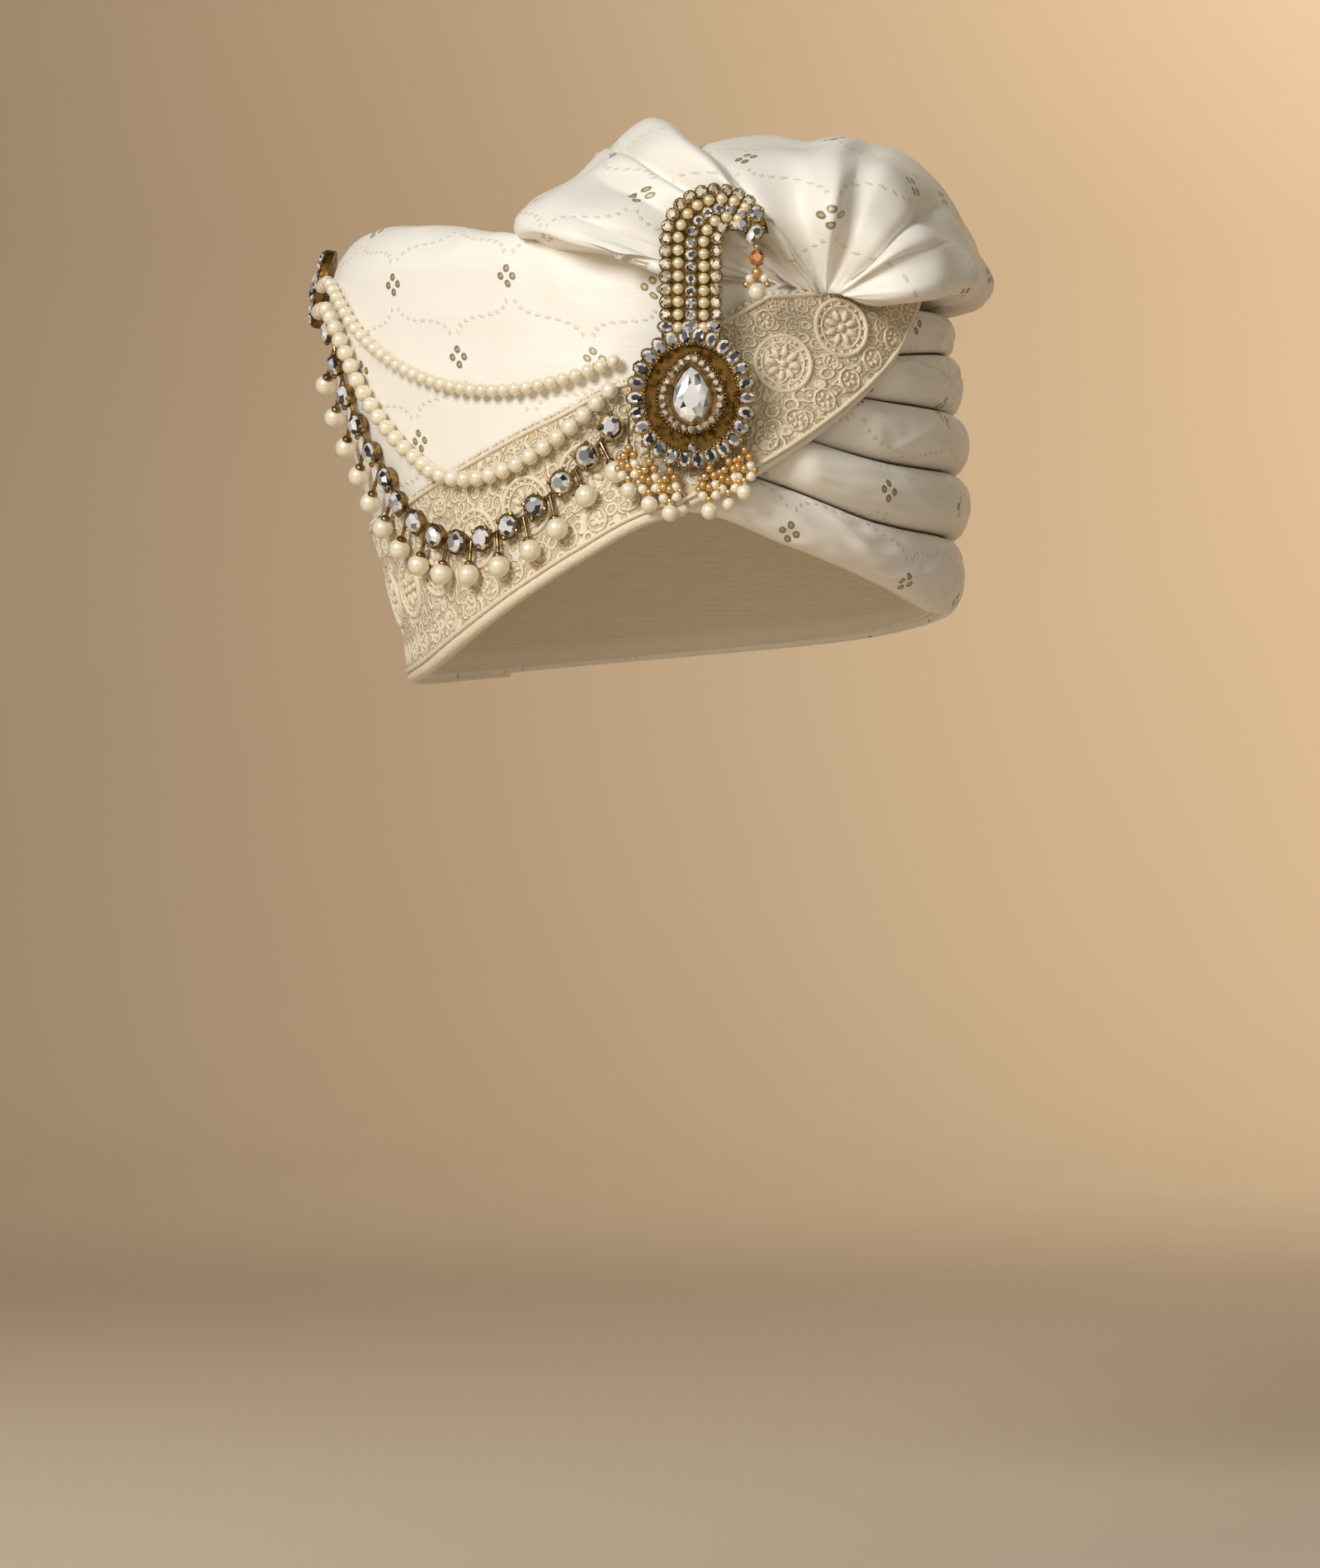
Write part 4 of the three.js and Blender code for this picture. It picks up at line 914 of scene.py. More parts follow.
# %% Panel hem
HEM = {"radius": 1.5, "brow_radius": 2.0, "up": 0.75, "brow_up": 0.3, "brow_end": 0.735, "first_step": 0.15,
       "sides": 12}
edge_along = np.linspace(0.0, 1.0, 260)
edge_line = panel_grid(edge_along, 0.0)
hem_up = unit(panel_grid(edge_along, HEM["first_step"]) - edge_line)
hem_out = unit(np.cross(np.gradient(edge_line, axis=0), hem_up))
hem_out *= np.sign((hem_out[:, :2] * edge_line[:, :2]).sum(axis=1))[:, None]
brow = edge_along <= HEM["brow_end"]
hem_rise = np.where(brow, HEM["brow_radius"] * HEM["brow_up"], HEM["radius"] * HEM["up"])
hem_line = edge_line + hem_up * hem_rise[:, None]
panel_hem = grow("panel_hem", path_seed([hem_line[~brow]], [hem_out[~brow]]), cord_tree, ivory_reverse,
                 Radius=HEM["radius"] * MM, Sides=HEM["sides"])
brow_hem = grow("brow_hem", path_seed([hem_line[brow]], [hem_out[brow]]), cord_tree, corded_thread,
                Radius=HEM["brow_radius"] * MM, Sides=HEM["sides"])
keep(panel_hem, "ivory_cloth")
keep(brow_hem, "lace")

# %% [markdown]
# ## Lace border
# The lace is a band of about forty-five millimetres laid on the panel from its hem upwards. Its
# ground is a thin sheet parallel to the panel, so it is found from the panel's own ribs: a share of each
# rib, lifted along the normal there. A painted band would do for a flat view, but its edge has to show.

# %% Lace ground
LACE = {"wall": 1.2, "gap": 0.8, "hem": 1.4, "first_rib": 0.012, "inset": 0.003}
LACE_TOP = LACE["gap"] + LACE["wall"]
LACE_WIDTH = {"at": [0, 0.3, 0.45, 0.66, 0.8, 1], "width": [50, 50, 49.5, 42, 44, 45]}


def rib_lengths(along):
    steps = np.linspace(0, PANEL["rise_rows"], 60)
    return travelled(panel_grid(along[:, None], steps[None, :]), 1)[:, -1]


def lace_place(across, up):
    """Places on the panel under the lace; up runs from the hem to the lace's upper edge."""
    along = blend(LACE["first_rib"], 1, across)
    long = np.interp(along, lace_ribs, lace_lengths)
    start = LACE["hem"] / long
    reach = np.minimum(read(LACE_WIDTH, "at", "width", along), long) / long
    return panel_grid(along, blend(start, reach, up) * PANEL["rise_rows"])


def lace_frame(across, up, lift):
    """Places above the lace with the directions out of it and along it."""
    nudge = 0.002
    side = lace_place(across + nudge, up) - lace_place(across - nudge, up)
    rise = lace_place(across, up + nudge) - lace_place(across, up - nudge)
    here = lace_place(across, up)
    out = unit(np.cross(side, rise))
    out *= np.sign((out[..., :2] * here[..., :2]).sum(axis=-1))[..., None]
    return here + out * lift, out, unit(side)


lace_ribs = np.linspace(0, 1, 120)
lace_lengths = rib_lengths(lace_ribs)
across, up = np.clip(np.meshgrid(np.linspace(0, 1, 240), np.linspace(0, 1, 30), indexing="ij"),
                     LACE["inset"], 1 - LACE["inset"])
grid, _, _ = lace_frame(across, up, LACE_TOP)
lace_ground = cloth("lace_ground", grid, cloth_uv(grid), beige_lace, LACE["wall"])
keep(lace_ground, "lace", "lace_band")
print("lace length:", travelled(grid, 0)[-1].mean().round(1), "mm")

# %% [markdown]
# ## Medallion
# A row of round medallions runs along the middle of the lace: a corded rim, a thin inner ring with a row
# of florets, and a flower of eight petals. They stand up by more than a millimetre, so they are geometry
# and not bump. One motif is built at size one, and its real size comes from the seed.

# %% Medallion tree
def corded_ring(tree, radius, steps, cord, sides):
    """A cord laid in a ring."""
    ring = add_node(tree, "GeometryNodeCurvePrimitiveCircle", {"Resolution": steps, "Radius": radius})
    section = add_node(tree, "GeometryNodeCurvePrimitiveCircle", {"Resolution": sides, "Radius": cord})
    return add_node(tree, "GeometryNodeCurveToMesh", {"Curve": ring, "Profile Curve": section})


def petal_ring(tree, petal, count, radius, size):
    """Petals round a ring, each pointing outwards."""
    outward = add_node(tree, "FunctionNodeAlignRotationToVector", {
        "Vector": add_node(tree, "GeometryNodeInputPosition")}, axis="Y")
    return add_node(tree, "GeometryNodeInstanceOnPoints", {
        "Points": add_node(tree, "GeometryNodeMeshCircle", {"Vertices": count, "Radius": radius}),
        "Instance": petal, "Rotation": outward, "Scale": size})


medallion_tree, given = new_tree("lace_medallions", {"Petals": 8, "Cord": 0.042})
petal = add_node(medallion_tree, "GeometryNodeMeshUVSphere", {"Segments": 8, "Rings": 6, "Radius": 0.5})
rim_ring = corded_ring(medallion_tree, 0.455, 36, given["Cord"], 7)
inner_ring = corded_ring(medallion_tree, 0.35, 28, 0.02, 6)
petals = petal_ring(medallion_tree, petal, given["Petals"], 0.2, (0.11, 0.2, 0.09))
florets = petal_ring(medallion_tree, petal, 16, 0.4, (0.06, 0.07, 0.06))
heart = add_node(medallion_tree, "GeometryNodeTransform", {"Geometry": petal, "Scale": (0.13, 0.13, 0.11)})
motif = add_node(medallion_tree, "GeometryNodeJoinGeometry", {
    "Geometry": [rim_ring, inner_ring, petals, florets, heart]})
close_tree(medallion_tree, set_on_seed(medallion_tree, given, motif))
print("medallion:", given["Petals"].name, "and", given["Cord"].name, "can be set")

# %% [markdown]
# ## Small flowers
# Between the medallions and along both edges lie small flowers of five petals in a ring. There are more
# than a hundred, so each has few sides to its ring and few faces to its petals, which does not show at
# five to eight millimetres.

# %% Small flower tree
flower_tree, given = new_tree("lace_flowers", {"Petals": 5, "Cord": 0.06})
petal = add_node(flower_tree, "GeometryNodeMeshUVSphere", {"Segments": 5, "Rings": 3, "Radius": 0.5})
ring = corded_ring(flower_tree, 0.43, 10, given["Cord"], 3)
petals = petal_ring(flower_tree, petal, given["Petals"], 0.19, (0.17, 0.27, 0.12))
flower = add_node(flower_tree, "GeometryNodeJoinGeometry", {"Geometry": [ring, petals]})
close_tree(flower_tree, set_on_seed(flower_tree, given, flower))
print("small flower:", len(flower_tree.nodes), "nodes")

# %% [markdown]
# ## Setting the motifs
# Embroidery repeats at an even pitch along the band. The pitch is measured on the curved lace itself and
# counted from one medallion whose place is known, so that the flowers keep step with the medallions.

# %% Medallions and flowers
MEDALLION = {"size": 18.5, "pitch": 22.0, "up": 0.49, "first": 0.886, "lift": 0.1}
FLOWERS = (
    # height in the band, size in mm, pitch in mm, shift in pitches
    (0.13, 8.0, 11.0, 0.0), (0.83, 7.0, 11.0, 0.5), (0.9, 5.0, 11.0, 0.0), (0.3, 5.5, 22.0, 0.5),
    (0.68, 5.5, 22.0, 0.5),
)
LACE_ENDS = (0.004, 0.996)
END_ROOM = 0.3


def lace_stops(up, pitch, shift=0.0):
    """Places along the lace at an even pitch in millimetres, counted from one of the medallions."""
    fine = np.linspace(*LACE_ENDS, 600)
    run = travelled(lace_place(fine, up), 0)
    first = np.interp(MEDALLION["first"], fine, run) + shift * pitch
    stops = np.arange(first % pitch, run[-1] - pitch * END_ROOM, pitch)
    return np.interp(stops[stops > pitch * END_ROOM], run, fine)


medallion_at = lace_stops(MEDALLION["up"], MEDALLION["pitch"])
points, out, ahead = lace_frame(medallion_at, MEDALLION["up"], LACE_TOP + MEDALLION["lift"])
medallions = grow("lace_medallions", seed_mesh(
    points, out=out, ahead=ahead, size=np.full(3, MEDALLION["size"] * MM)), medallion_tree, corded_thread)
keep(medallions, "lace")
places = []
for up, size, pitch, shift in FLOWERS:
    points, out, ahead = lace_frame(lace_stops(up, pitch, shift), up, LACE_TOP)
    places.append((points, out, ahead, np.full(points.shape, size * MM)))
points, out, ahead, size = (np.concatenate(part) for part in zip(*places))
lace_flowers = grow("lace_flowers", seed_mesh(points, out=out, ahead=ahead, size=size),
                    flower_tree, corded_thread)
keep(lace_flowers, "lace")

# %% [markdown]
# ## Edges of the lace
# A cord is couched along both edges of the lace, and a row of small picots, the loops that finish a lace,
# stands on the upper one. The cords are swept and the picots are flattened beads at an even pitch.

# %% Corded edges and picots
EDGE_CORD = {"ups": (0.02, 0.965), "lift": 0.1, "radius": 0.7}
PICOT = {"up": 0.992, "pitch": 2.6, "size": (2.3, 2.3, 1.3), "seat": 0.7}
fine = np.linspace(*LACE_ENDS, 500)
edge_cords = [lace_frame(fine, up, LACE_TOP + EDGE_CORD["lift"])[:2] for up in EDGE_CORD["ups"]]
lace_cords = grow("lace_cords", path_seed(*zip(*edge_cords)), cord_tree, corded_thread,
                  Radius=EDGE_CORD["radius"] * MM, Sides=7)
keep(lace_cords, "lace")
points, out, ahead = lace_frame(
    lace_stops(PICOT["up"], PICOT["pitch"]), PICOT["up"], LACE_TOP * PICOT["seat"])
lace_picots = grow("lace_picots", seed_mesh(points, out=out, ahead=ahead, size=np.array(PICOT["size"]) * MM),
                   bead_tree, corded_thread, Segments=8, Rings=5)
keep(lace_picots, "lace")

# %% [markdown]
# ## Wound rolls
# On the right the same cloth is twisted loosely and wound round the head in five turns. Each roll is
# pulled tight where it goes under the diagonal edge and swells towards the side. Grooves between the
# rolls are given at a few angles, and each roll fills the room between two of them.

# %% Measures of the rolls
ROLL = {"seat": 3.6, "gap": 0.6, "end_depth": 2.6, "taper_from": 2.0, "taper": 15.0, "roundness": 0.68,
        "loose_from": 3.0, "loose": 20.0}
DRAG = {"long": 26.0, "long_slant": 0.5, "long_wide": 2.2, "short": 11.0, "short_slant": -0.4,
        "short_wide": 1.2, "short_share": 0.6, "deep": 0.6, "slack": 0.4}
GROOVES = {
    "angle": [15, 45, 90, 180, 220],
    "1": [45.7, 33.8, 31.5, 19, 14],
    "2": [61, 52.2, 51.6, 40, 37],
    "3": [74, 70.3, 70, 61, 59],
    "4": [78, 83.6, 89, 82, 80],
    "5": [95, 98.5, 101, 101, 99],
}
ROLLS = (
    # number, start, end, bulge
    ("1", -3, 228, 7.8), ("2", 12, 229, 9.8), ("3", 27, 229, 9.4), ("4", 38, 229, 7.4), ("5", 46, 228, 5.0),
)
TUCKS = (
    # roll, angle, slant over its height in degrees, height of the step in mm, width in degrees
    ("1", 34, -9, 1.3, 1.2), ("1", 58, 15, 1.4, 1.6), ("2", 63, 13, 1.0, 1.8), ("2", 110, -12, 1.2, 2.0),
    ("3", 52, 12, 1.1, 1.6), ("3", 140, 12, 1.2, 2.0), ("4", 64, 9, 0.9, 1.5), ("4", 120, -10, 1.0, 2.0),
    ("5", 70, 8, 0.6, 1.5), ("1", 150, 14, 1.2, 2.0), ("2", 185, 12, 1.1, 2.0),
)
TUCK_REACH = 16.0
print("rolls:", len(ROLLS), "with", len(TUCKS), "tucks")

# %% [markdown]
# ## The shape of a roll
# A half ring of points is carried along each roll and closed behind it against the cap. Two sizes of
# slanting drag folds sink into the outside, as twisted cloth has them, and where the cloth laps over
# itself a low step runs across and fades out. A simulation could find such folds, but not in these places.


# %% Shape of a roll
def tucked(number, angle, turn):
    """Steps where the cloth laps over itself across a roll, each fading out behind its edge."""
    total = np.zeros(angle.shape)
    for roll, at, slant, tall, wide in TUCKS:
        if roll == number:
            past = angle - at - slant * turn
            total += tall * smooth_step(past, -wide, wide) * np.exp(-np.maximum(past, 0) / TUCK_REACH)
    return total


def groove(number, angle):
    if number == "0":
        return read(RIM, "angle", "height", angle)
    return read(GROOVES, "angle", number, angle)


def dragged(angle, turn, size, seed, waves):
    """Slanting drag folds of one size."""
    along = angle / DRAG[size] + turn * DRAG[size + "_slant"]
    return ripples(along, turn / DRAG[size + "_wide"], seed=seed, waves=waves)


def roll_grid(number, start, end, bulge):
    """Rings of points along a roll, closed round its section."""
    angle, turn = np.meshgrid(
        np.linspace(start, end, 190), np.linspace(-np.pi / 2, np.pi / 2, 30), indexing="ij")
    low = groove(str(int(number) - 1), angle) + ROLL["gap"] / 2
    high = groove(number, angle) - ROLL["gap"] / 2
    from_end = np.minimum(angle - start, end - angle)
    depth = blend(ROLL["end_depth"], bulge, smooth_step(from_end, ROLL["taper_from"], ROLL["taper"]))
    drag = dragged(angle, turn, "long", seed=int(number), waves=6)
    drag += DRAG["short_share"] * dragged(angle, turn, "short", seed=int(number) + 20, waves=5)
    out = np.maximum(np.cos(turn), 0) ** ROLL["roundness"]
    loose = out * smooth_step(from_end, ROLL["loose_from"], ROLL["loose"])
    sunk = np.abs(drag) * DRAG["deep"] + DRAG["slack"]
    depth = depth * out + (tucked(number, angle, turn) - sunk) * loose
    height = blend(low, high, (np.sin(turn) + 1) / 2)
    outer = around(angle, ROLL["seat"] + depth, height)
    down_the_back = np.linspace(0, 1, 6)[1:-1]
    back = around(angle[:, :1], ROLL["seat"], blend(high[:, :1], low[:, :1], down_the_back))
    return np.concatenate([outer, back, outer[:, :1]], axis=1)


print("groove over roll 1 at the side:", round(float(groove("1", 90)), 1), "mm")


# %% [markdown]
# ## Making the rolls
# Each end of a roll is drawn together to a point, where it disappears under the panel or the back. The
# print is shifted from roll to roll, because each turn shows another part of the cloth.

# %% Rolls
ROLL_PRINT = np.array([0.011, 0.017])
for number, start, end, bulge in ROLLS:
    grid = roll_grid(number, start, end, bulge)
    first, last = (np.broadcast_to(ring.mean(axis=0), (1, *ring.shape)) for ring in (grid[0], grid[-1]))
    uv = cloth_uv(grid)
    uv = np.concatenate([uv[:1], uv, uv[-1:]]) + ROLL_PRINT * int(number)
    mesh = grid_mesh(f"roll_{number}_cloth", np.concatenate([first, grid, last]), uv)
    keep(link(f"roll_{number}_cloth", mesh, ivory_satin), "ivory_cloth", f"roll_{number}")

# %% [markdown]
# ## Gathered crown
# The end of the cloth is spread over the top in deep soft folds, gathered to one point above the lace
# and tucked behind the top roll. A cloth simulation would put the folds where it likes. Here they have
# known places, so a table gives each fold's outline point and whether it stands forward or sinks back.

# %% Measures of the crown
CROWN = {
    "wall": 2.0, "gather": (42.0, -97.0, 99.5), "front": -107.0, "middle": 5.0, "dimple": 13.0,
    "dimple_radius": 17.0, "throat": 0.8, "back_draw": 1.6, "back_round": 0.8, "droop_peak": 1.15,
    "left_angle": 232.0, "left_offset": -9.0, "left_height": 101.5,
    "right_angle": 98.0, "right_offset": 2.0, "right_height": 102.4,
    "left_spread": 17.0, "left_rise": 3.5, "right_spread": 6.0, "right_rise": -0.5, "left_shallow": 0.35,
    "columns": 300, "front_rows": 76, "back_rows": 50, "row_ease": 1.15,
}
FOLDS = {
    "x": [-45, -50, -50, -45, -33, -26, -24, -13, -4, 1, 24, 37, 48, 58, 68, 79, 88, 93, 97, 93, 84],
    "z": [116.5, 118.5, 124, 131, 139.5, 148.5, 150.5, 159.5, 156, 152.5, 153.5, 152.5, 154, 152.5, 150.5,
          140.5, 129, 120, 110, 104.5, 104],
    "lift": [4, 4.5, 4, 3.5, 0, 4, -4, 5, 3, 1, -3.5, 2, 4, -3, -1.5, 1.5, 4, 0.5, 3.5, 1, -2],
    "droop": [-2.6, -2.6, -2.4, -1.5, 0, 0, 0, 0, 0, 0, 0, 0, 0, 0, 0, 0, 0, 0, -3, -4, -4],
    "square": [8, 8, 7, 5.5, 4, 3.4, 3.2, 3, 3, 3, 3, 3, 3, 2.8, 2.6, 2.4, 2.2, 2.2, 2.2, 2.2, 2.2],
}
FOLDS["at"] = [row / (len(FOLDS["x"]) - 1) for row in range(len(FOLDS["x"]))]
CREASES = (
    # place across the folds, depth in mm, width, reach from and to
    (0.20, 1.6, 0.010, 0.15, 0.95), (0.30, 3.0, 0.008, 0.10, 1.15), (0.45, 3.2, 0.008, 0.12, 1.20),
    (0.64, 1.0, 0.018, 0.08, 0.9), (0.772, 4.2, 0.012, 0.05, 0.98),
    (0.832, 2.0, 0.010, 0.05, 0.8), (0.125, 1.0, 0.012, 0.2, 0.9),
)
print("crown:", len(FOLDS["x"]), "folds and", len(CREASES), "creases")

# %% [markdown]
# ## The folds
# Every fold is a curve from the gather, over its outline point and down to the tuck at the back. The front
# part is a quarter of a rounded square, so it rises steeply behind the panel and turns over softly. Round
# the gather the cloth sinks into a dimple.


# %% Folds of the crown
def fold(column, across):
    return read(FOLDS, "at", column, across)


def crown_grid(across, share):
    """Places on the crown: share 0 to 1 is the front of a fold, 1 to 2 its back."""
    leftward = 1 - smooth_step(across, 0.05, 0.4)
    rightward = smooth_step(across, 0.6, 1)
    gather_x = CROWN["gather"][0] - CROWN["left_spread"] * leftward + CROWN["right_spread"] * rightward
    gather_z = CROWN["gather"][2] + CROWN["left_rise"] * leftward + CROWN["right_rise"] * rightward
    x, z, power = fold("x", across), fold("z", across), 2 / fold("square", across)
    turn = np.clip(share, 0, 1) * np.pi / 2
    length = np.hypot(x - gather_x, z - gather_z)
    reach = blend(CROWN["throat"] / length, 1, np.sin(turn) ** power)
    depth = np.maximum(np.cos(turn), 0) ** power
    deep = CROWN["dimple"] * (1 - CROWN["left_shallow"] * leftward)
    sunk = deep * np.exp(-(reach * length / CROWN["dimple_radius"]) ** 2)
    stand = fold("lift", across) * np.sin(reach * np.pi) * depth
    droop = fold("droop", across) * np.sin(np.minimum(reach * CROWN["droop_peak"], 1) * np.pi)
    front = np.stack([
        blend(gather_x, x, reach),
        blend(CROWN["middle"], CROWN["front"], depth) + sunk - stand,
        blend(gather_z, z, reach) + droop], axis=-1)
    from_left = smooth_step(across, 0, 0.25)
    end = around(blend(CROWN["left_angle"], CROWN["right_angle"], across),
                 blend(CROWN["left_offset"], CROWN["right_offset"], from_left),
                 blend(CROWN["left_height"], CROWN["right_height"], from_left))
    over = np.clip(share - 1, 0, 1) * np.pi / 2
    onward = np.sin(over)
    back = np.stack([
        blend(x, end[..., 0], onward ** CROWN["back_draw"]),
        blend(CROWN["middle"], end[..., 1], onward),
        blend(end[..., 2], z, np.maximum(np.cos(over), 0) ** CROWN["back_round"])], axis=-1)
    return np.where((share <= 1)[..., None], front, back), reach


front_rows = np.linspace(0, 1, CROWN["front_rows"]) ** CROWN["row_ease"]
back_rows = np.linspace(1, 2, CROWN["back_rows"])[1:]
across, share = np.meshgrid(
    np.linspace(0, 1, CROWN["columns"]), np.concatenate([front_rows, back_rows]), indexing="ij")
grid, reach = crown_grid(across, share)
print("crown grid:", grid.shape)

# %% [markdown]
# ## Print, creases and wrinkles
# At the front the cloth spreads like a fan, so its print runs round the gather, and behind the crest it
# runs straight back. Sharp creases are pressed in along the valleys, and close wrinkles run out of the
# gather and die away, because the cloth is crushed there.

# %% Creases and wrinkles
WRINKLE = {"count": 19, "wander": 2.4, "wander_turns": 15, "drift": 0.05, "fade": 18.0, "deep": 1.3,
           "least": 0.15, "left": 1.2}
SOFT = {"long": 45.0, "across": 7.0, "deep": 0.8}
CREASE_EASE = (0.15, 0.25)
CROWN_HEART = (25, 0, 110)
FAN_ROW = 48
run = travelled(grid, 1)
round_the_crown = travelled(grid, 0)
bearing = np.cumsum(np.diff(round_the_crown[:, FAN_ROW], prepend=0) / run[:, FAN_ROW])[:, None]
fan = np.stack([run * np.cos(bearing), run * np.sin(bearing)], axis=-1) * MM
spread = np.stack([round_the_crown - round_the_crown[CROWN["columns"] // 2], run], axis=-1) * MM
push = np.zeros(across.shape)
span = np.where(share <= 1, reach, share)
for place, deep, wide, start, end in CREASES:
    begun = smooth_step(span, start, start + CREASE_EASE[0])
    ended = smooth_step(span, end - CREASE_EASE[1], end)
    push -= deep * np.exp(-np.abs(across - place) / wide) * (begun * (1 - ended))
wander = WRINKLE["wander"] * np.sin(across * WRINKLE["wander_turns"])
phase = across * 2 * np.pi * WRINKLE["count"] + wander + WRINKLE["drift"] * run
crushed = np.sin(phase) * np.exp(-run / WRINKLE["fade"]) * smooth_step(run, 1, 6)
crushed *= WRINKLE["least"] + WRINKLE["left"] * (1 - smooth_step(across, 0.05, 0.45))
soft = ripples(run / SOFT["long"], across * SOFT["across"], seed=11) * smooth_step(run, 8, 40) * SOFT["deep"]
push += WRINKLE["deep"] * crushed + soft
out = normals_of(grid)
out *= np.sign((out * (grid - np.array(CROWN_HEART))).sum())
grid = grid + out * push[..., None]
print("deepest crease:", round(float(push.min()), 1), "mm")

# %% [markdown]
# ## The crown's cloth
# The two side edges of the grid would show as cut edges, so the cloth is carried on there as skirts that
# turn in under the crown, as tucked cloth does. The row at the crest is doubled, because the print changes
# from the fan to the straight run there and each face needs its own place in the UV map.

# %% Crown
SKIRT = np.linspace(0, 1, 9)[1:, None, None]
FRONT_SKIRT = np.array([1.0, 17.0, -2.0])
SIDE_SKIRT = np.array([10.0, 0.0, -10.0])
RIGHT_SKIRT = np.array([-14.0, 8.0, -1.0])
held = np.sin(np.clip(share[0], 0, 2) * np.pi / 2)
left_held = np.where(share[0] <= 1, smooth_step(reach[0], 0.0, 0.3), held)[None, :, None]
to_side = smooth_step(share[0], 0.3, 0.95)[None, :, None]
left_skirt = grid[:1] + blend(FRONT_SKIRT, SIDE_SKIRT, to_side) * SKIRT * left_held
right_skirt = grid[-1:] + RIGHT_SKIRT * SKIRT * held[None, :, None]
grid = np.concatenate([left_skirt[::-1], grid, right_skirt])
skirt_uv = np.array([0.0, -0.02]) * SKIRT
fan, spread = (np.concatenate([(uv[:1] + skirt_uv)[::-1], uv, uv[-1:] + skirt_uv]) for uv in (fan, spread))
crest = int(np.argmax(share[0] >= 1))
grid = np.concatenate([grid[:, :crest + 1], grid[:, crest:]], axis=1)
uv = np.concatenate([fan[:, :crest + 1], spread[:, crest:]], axis=1)
crown = cloth("crown_cloth", grid, uv, ivory_satin, CROWN["wall"], inside=CROWN_HEART)
keep(crown, "ivory_cloth", "crown_puff")

# %% [markdown]
# ## Pearl strings
# Two strings of dipped pearls hang over the panel from the side brooch to the main one. A string on a
# curved cloth hangs neither free nor flat, so each one is given as an angle and a height with a sag, and
# its points are looked up on the panel: close to the plain cloth, and higher where the lace lies under it.

# %% Hanging lines
STRINGS = (
    # name, bead, hook at the side brooch, where it starts to hang, end (angle, height), sag, skew
    ("upper", 4.1, (-88.4, 110.5), (-78.9, 111), (-12, 80), 22.8, 0.78),
    ("lower", 5.1, (-89.1, 103.5), (-78.2, 102.5), (-12.5, 72.5), 42, 0.79),
)
LEAD_STEPS = 60
CORNER_STEPS = 41
PANEL_SEAT = 0.7
LACE_SEAT = LACE_TOP + 0.5
SEAT_EASE = 8.0
lace_rim_at = np.linspace(0.01, 0.99, 200)
lace_rim = lace_place(lace_rim_at, np.ones_like(lace_rim_at))
lace_rim_angle = np.degrees(np.arctan2(lace_rim[:, 0] / HEAD_HALF_WIDTH, -lace_rim[:, 1] / HEAD_HALF_DEPTH))


def seat(angle, height):
    """How far off the panel a line lies: close to it on the plain cloth, higher on the lace."""
    above = height - np.interp(angle, lace_rim_angle, lace_rim[:, 2])
    return blend(LACE_SEAT, PANEL_SEAT, smooth_step(above, 0, SEAT_EASE))


def panel_frame(angle, height, lift):
    """Places above the panel, with the directions out of it and down along it."""
    nudge = 0.5
    side = panel_face(angle + nudge, height) - panel_face(angle - nudge, height)
    down = unit(panel_face(angle, height - nudge) - panel_face(angle, height + nudge))
    out = unit(np.cross(down, side))
    return panel_face(angle, height) + out * np.asarray(lift)[..., None], out, down


def hanging_line(start, end, sag, skew, count=260):
    """Angles and heights of a line that hangs over the panel."""
    share = np.linspace(0, 1, count)
    bowed = share ** skew
    angle = blend(start[0], end[0], share)
    return angle, blend(start[1], end[1], share) - sag * 4 * bowed * (1 - bowed)


def led_in(hook, hang):
    """A column of a line with a straight lead from its hook, and the corner between them rounded off."""
    lead = np.linspace(hook, hang[0], LEAD_STEPS, endpoint=False)
    padded = np.pad(np.concatenate([lead, hang]), CORNER_STEPS // 2, mode="edge")
    return np.convolve(padded, np.ones(CORNER_STEPS) / CORNER_STEPS, mode="valid")


print("lace seat:", LACE_SEAT, "mm, plain seat:", PANEL_SEAT, "mm")

# %% [markdown]
# ## Stringing the pearls
# Each line starts with a short lead from the side brooch. Then the tree sets a pearl at every pearl's
# width along it, which is how a knotted string looks.

# %% Pearl strings
STRING_PITCH = 1.02
for name, bead, hook, start, end, sag, skew in STRINGS:
    angle, height = (led_in(*part) for part in zip(hook, hanging_line(start, end, sag, skew)))
    points, out, _ = panel_frame(angle, height, seat(angle, height) + bead / 2)
    string = grow(f"pearl_string_{name}", path_seed([points], [out]), strung_tree, pearl_lacquer,
                  Bead=bead * MM, Pitch=bead * STRING_PITCH * MM)
    keep(string, "pearl", f"pearl_strand_{name}")

# %% [markdown]
# ## Stone chain
# Below the pearls hangs a cup chain: sixteen round stones, each in a gold cup with four claws. The stones'
# places are spaced evenly along their hanging line, and cups and stones are set on the same points.

# %% Cups and stones of the chain
CHAIN = {
    "start": (-81.4, 96), "end": (-13.5, 60), "sag": 51, "skew": 0.79, "hook": (-91.5, 101), "stones": 16,
    "cup": (8.0, 8.0, 2.4), "stone": (6.9, 6.9, 2.2), "sunk": 0.15, "pearl": 6.6, "drop": 10.0, "swing": 7.0,
    "wire": 0.65, "cap": (3.2, 3.2, 2.2),
}
cup_height = CHAIN["cup"][2]
angle, height = hanging_line(CHAIN["start"], CHAIN["end"], CHAIN["sag"], CHAIN["skew"], 400)
run = travelled(panel_frame(angle, height, seat(angle, height))[0], 0)
stops = np.linspace(0, run[-1], CHAIN["stones"])
stone_angle, stone_height = (np.interp(stops, run, values) for values in (angle, height))
seats, seat_out, seat_down = panel_frame(stone_angle, stone_height, seat(stone_angle, stone_height))
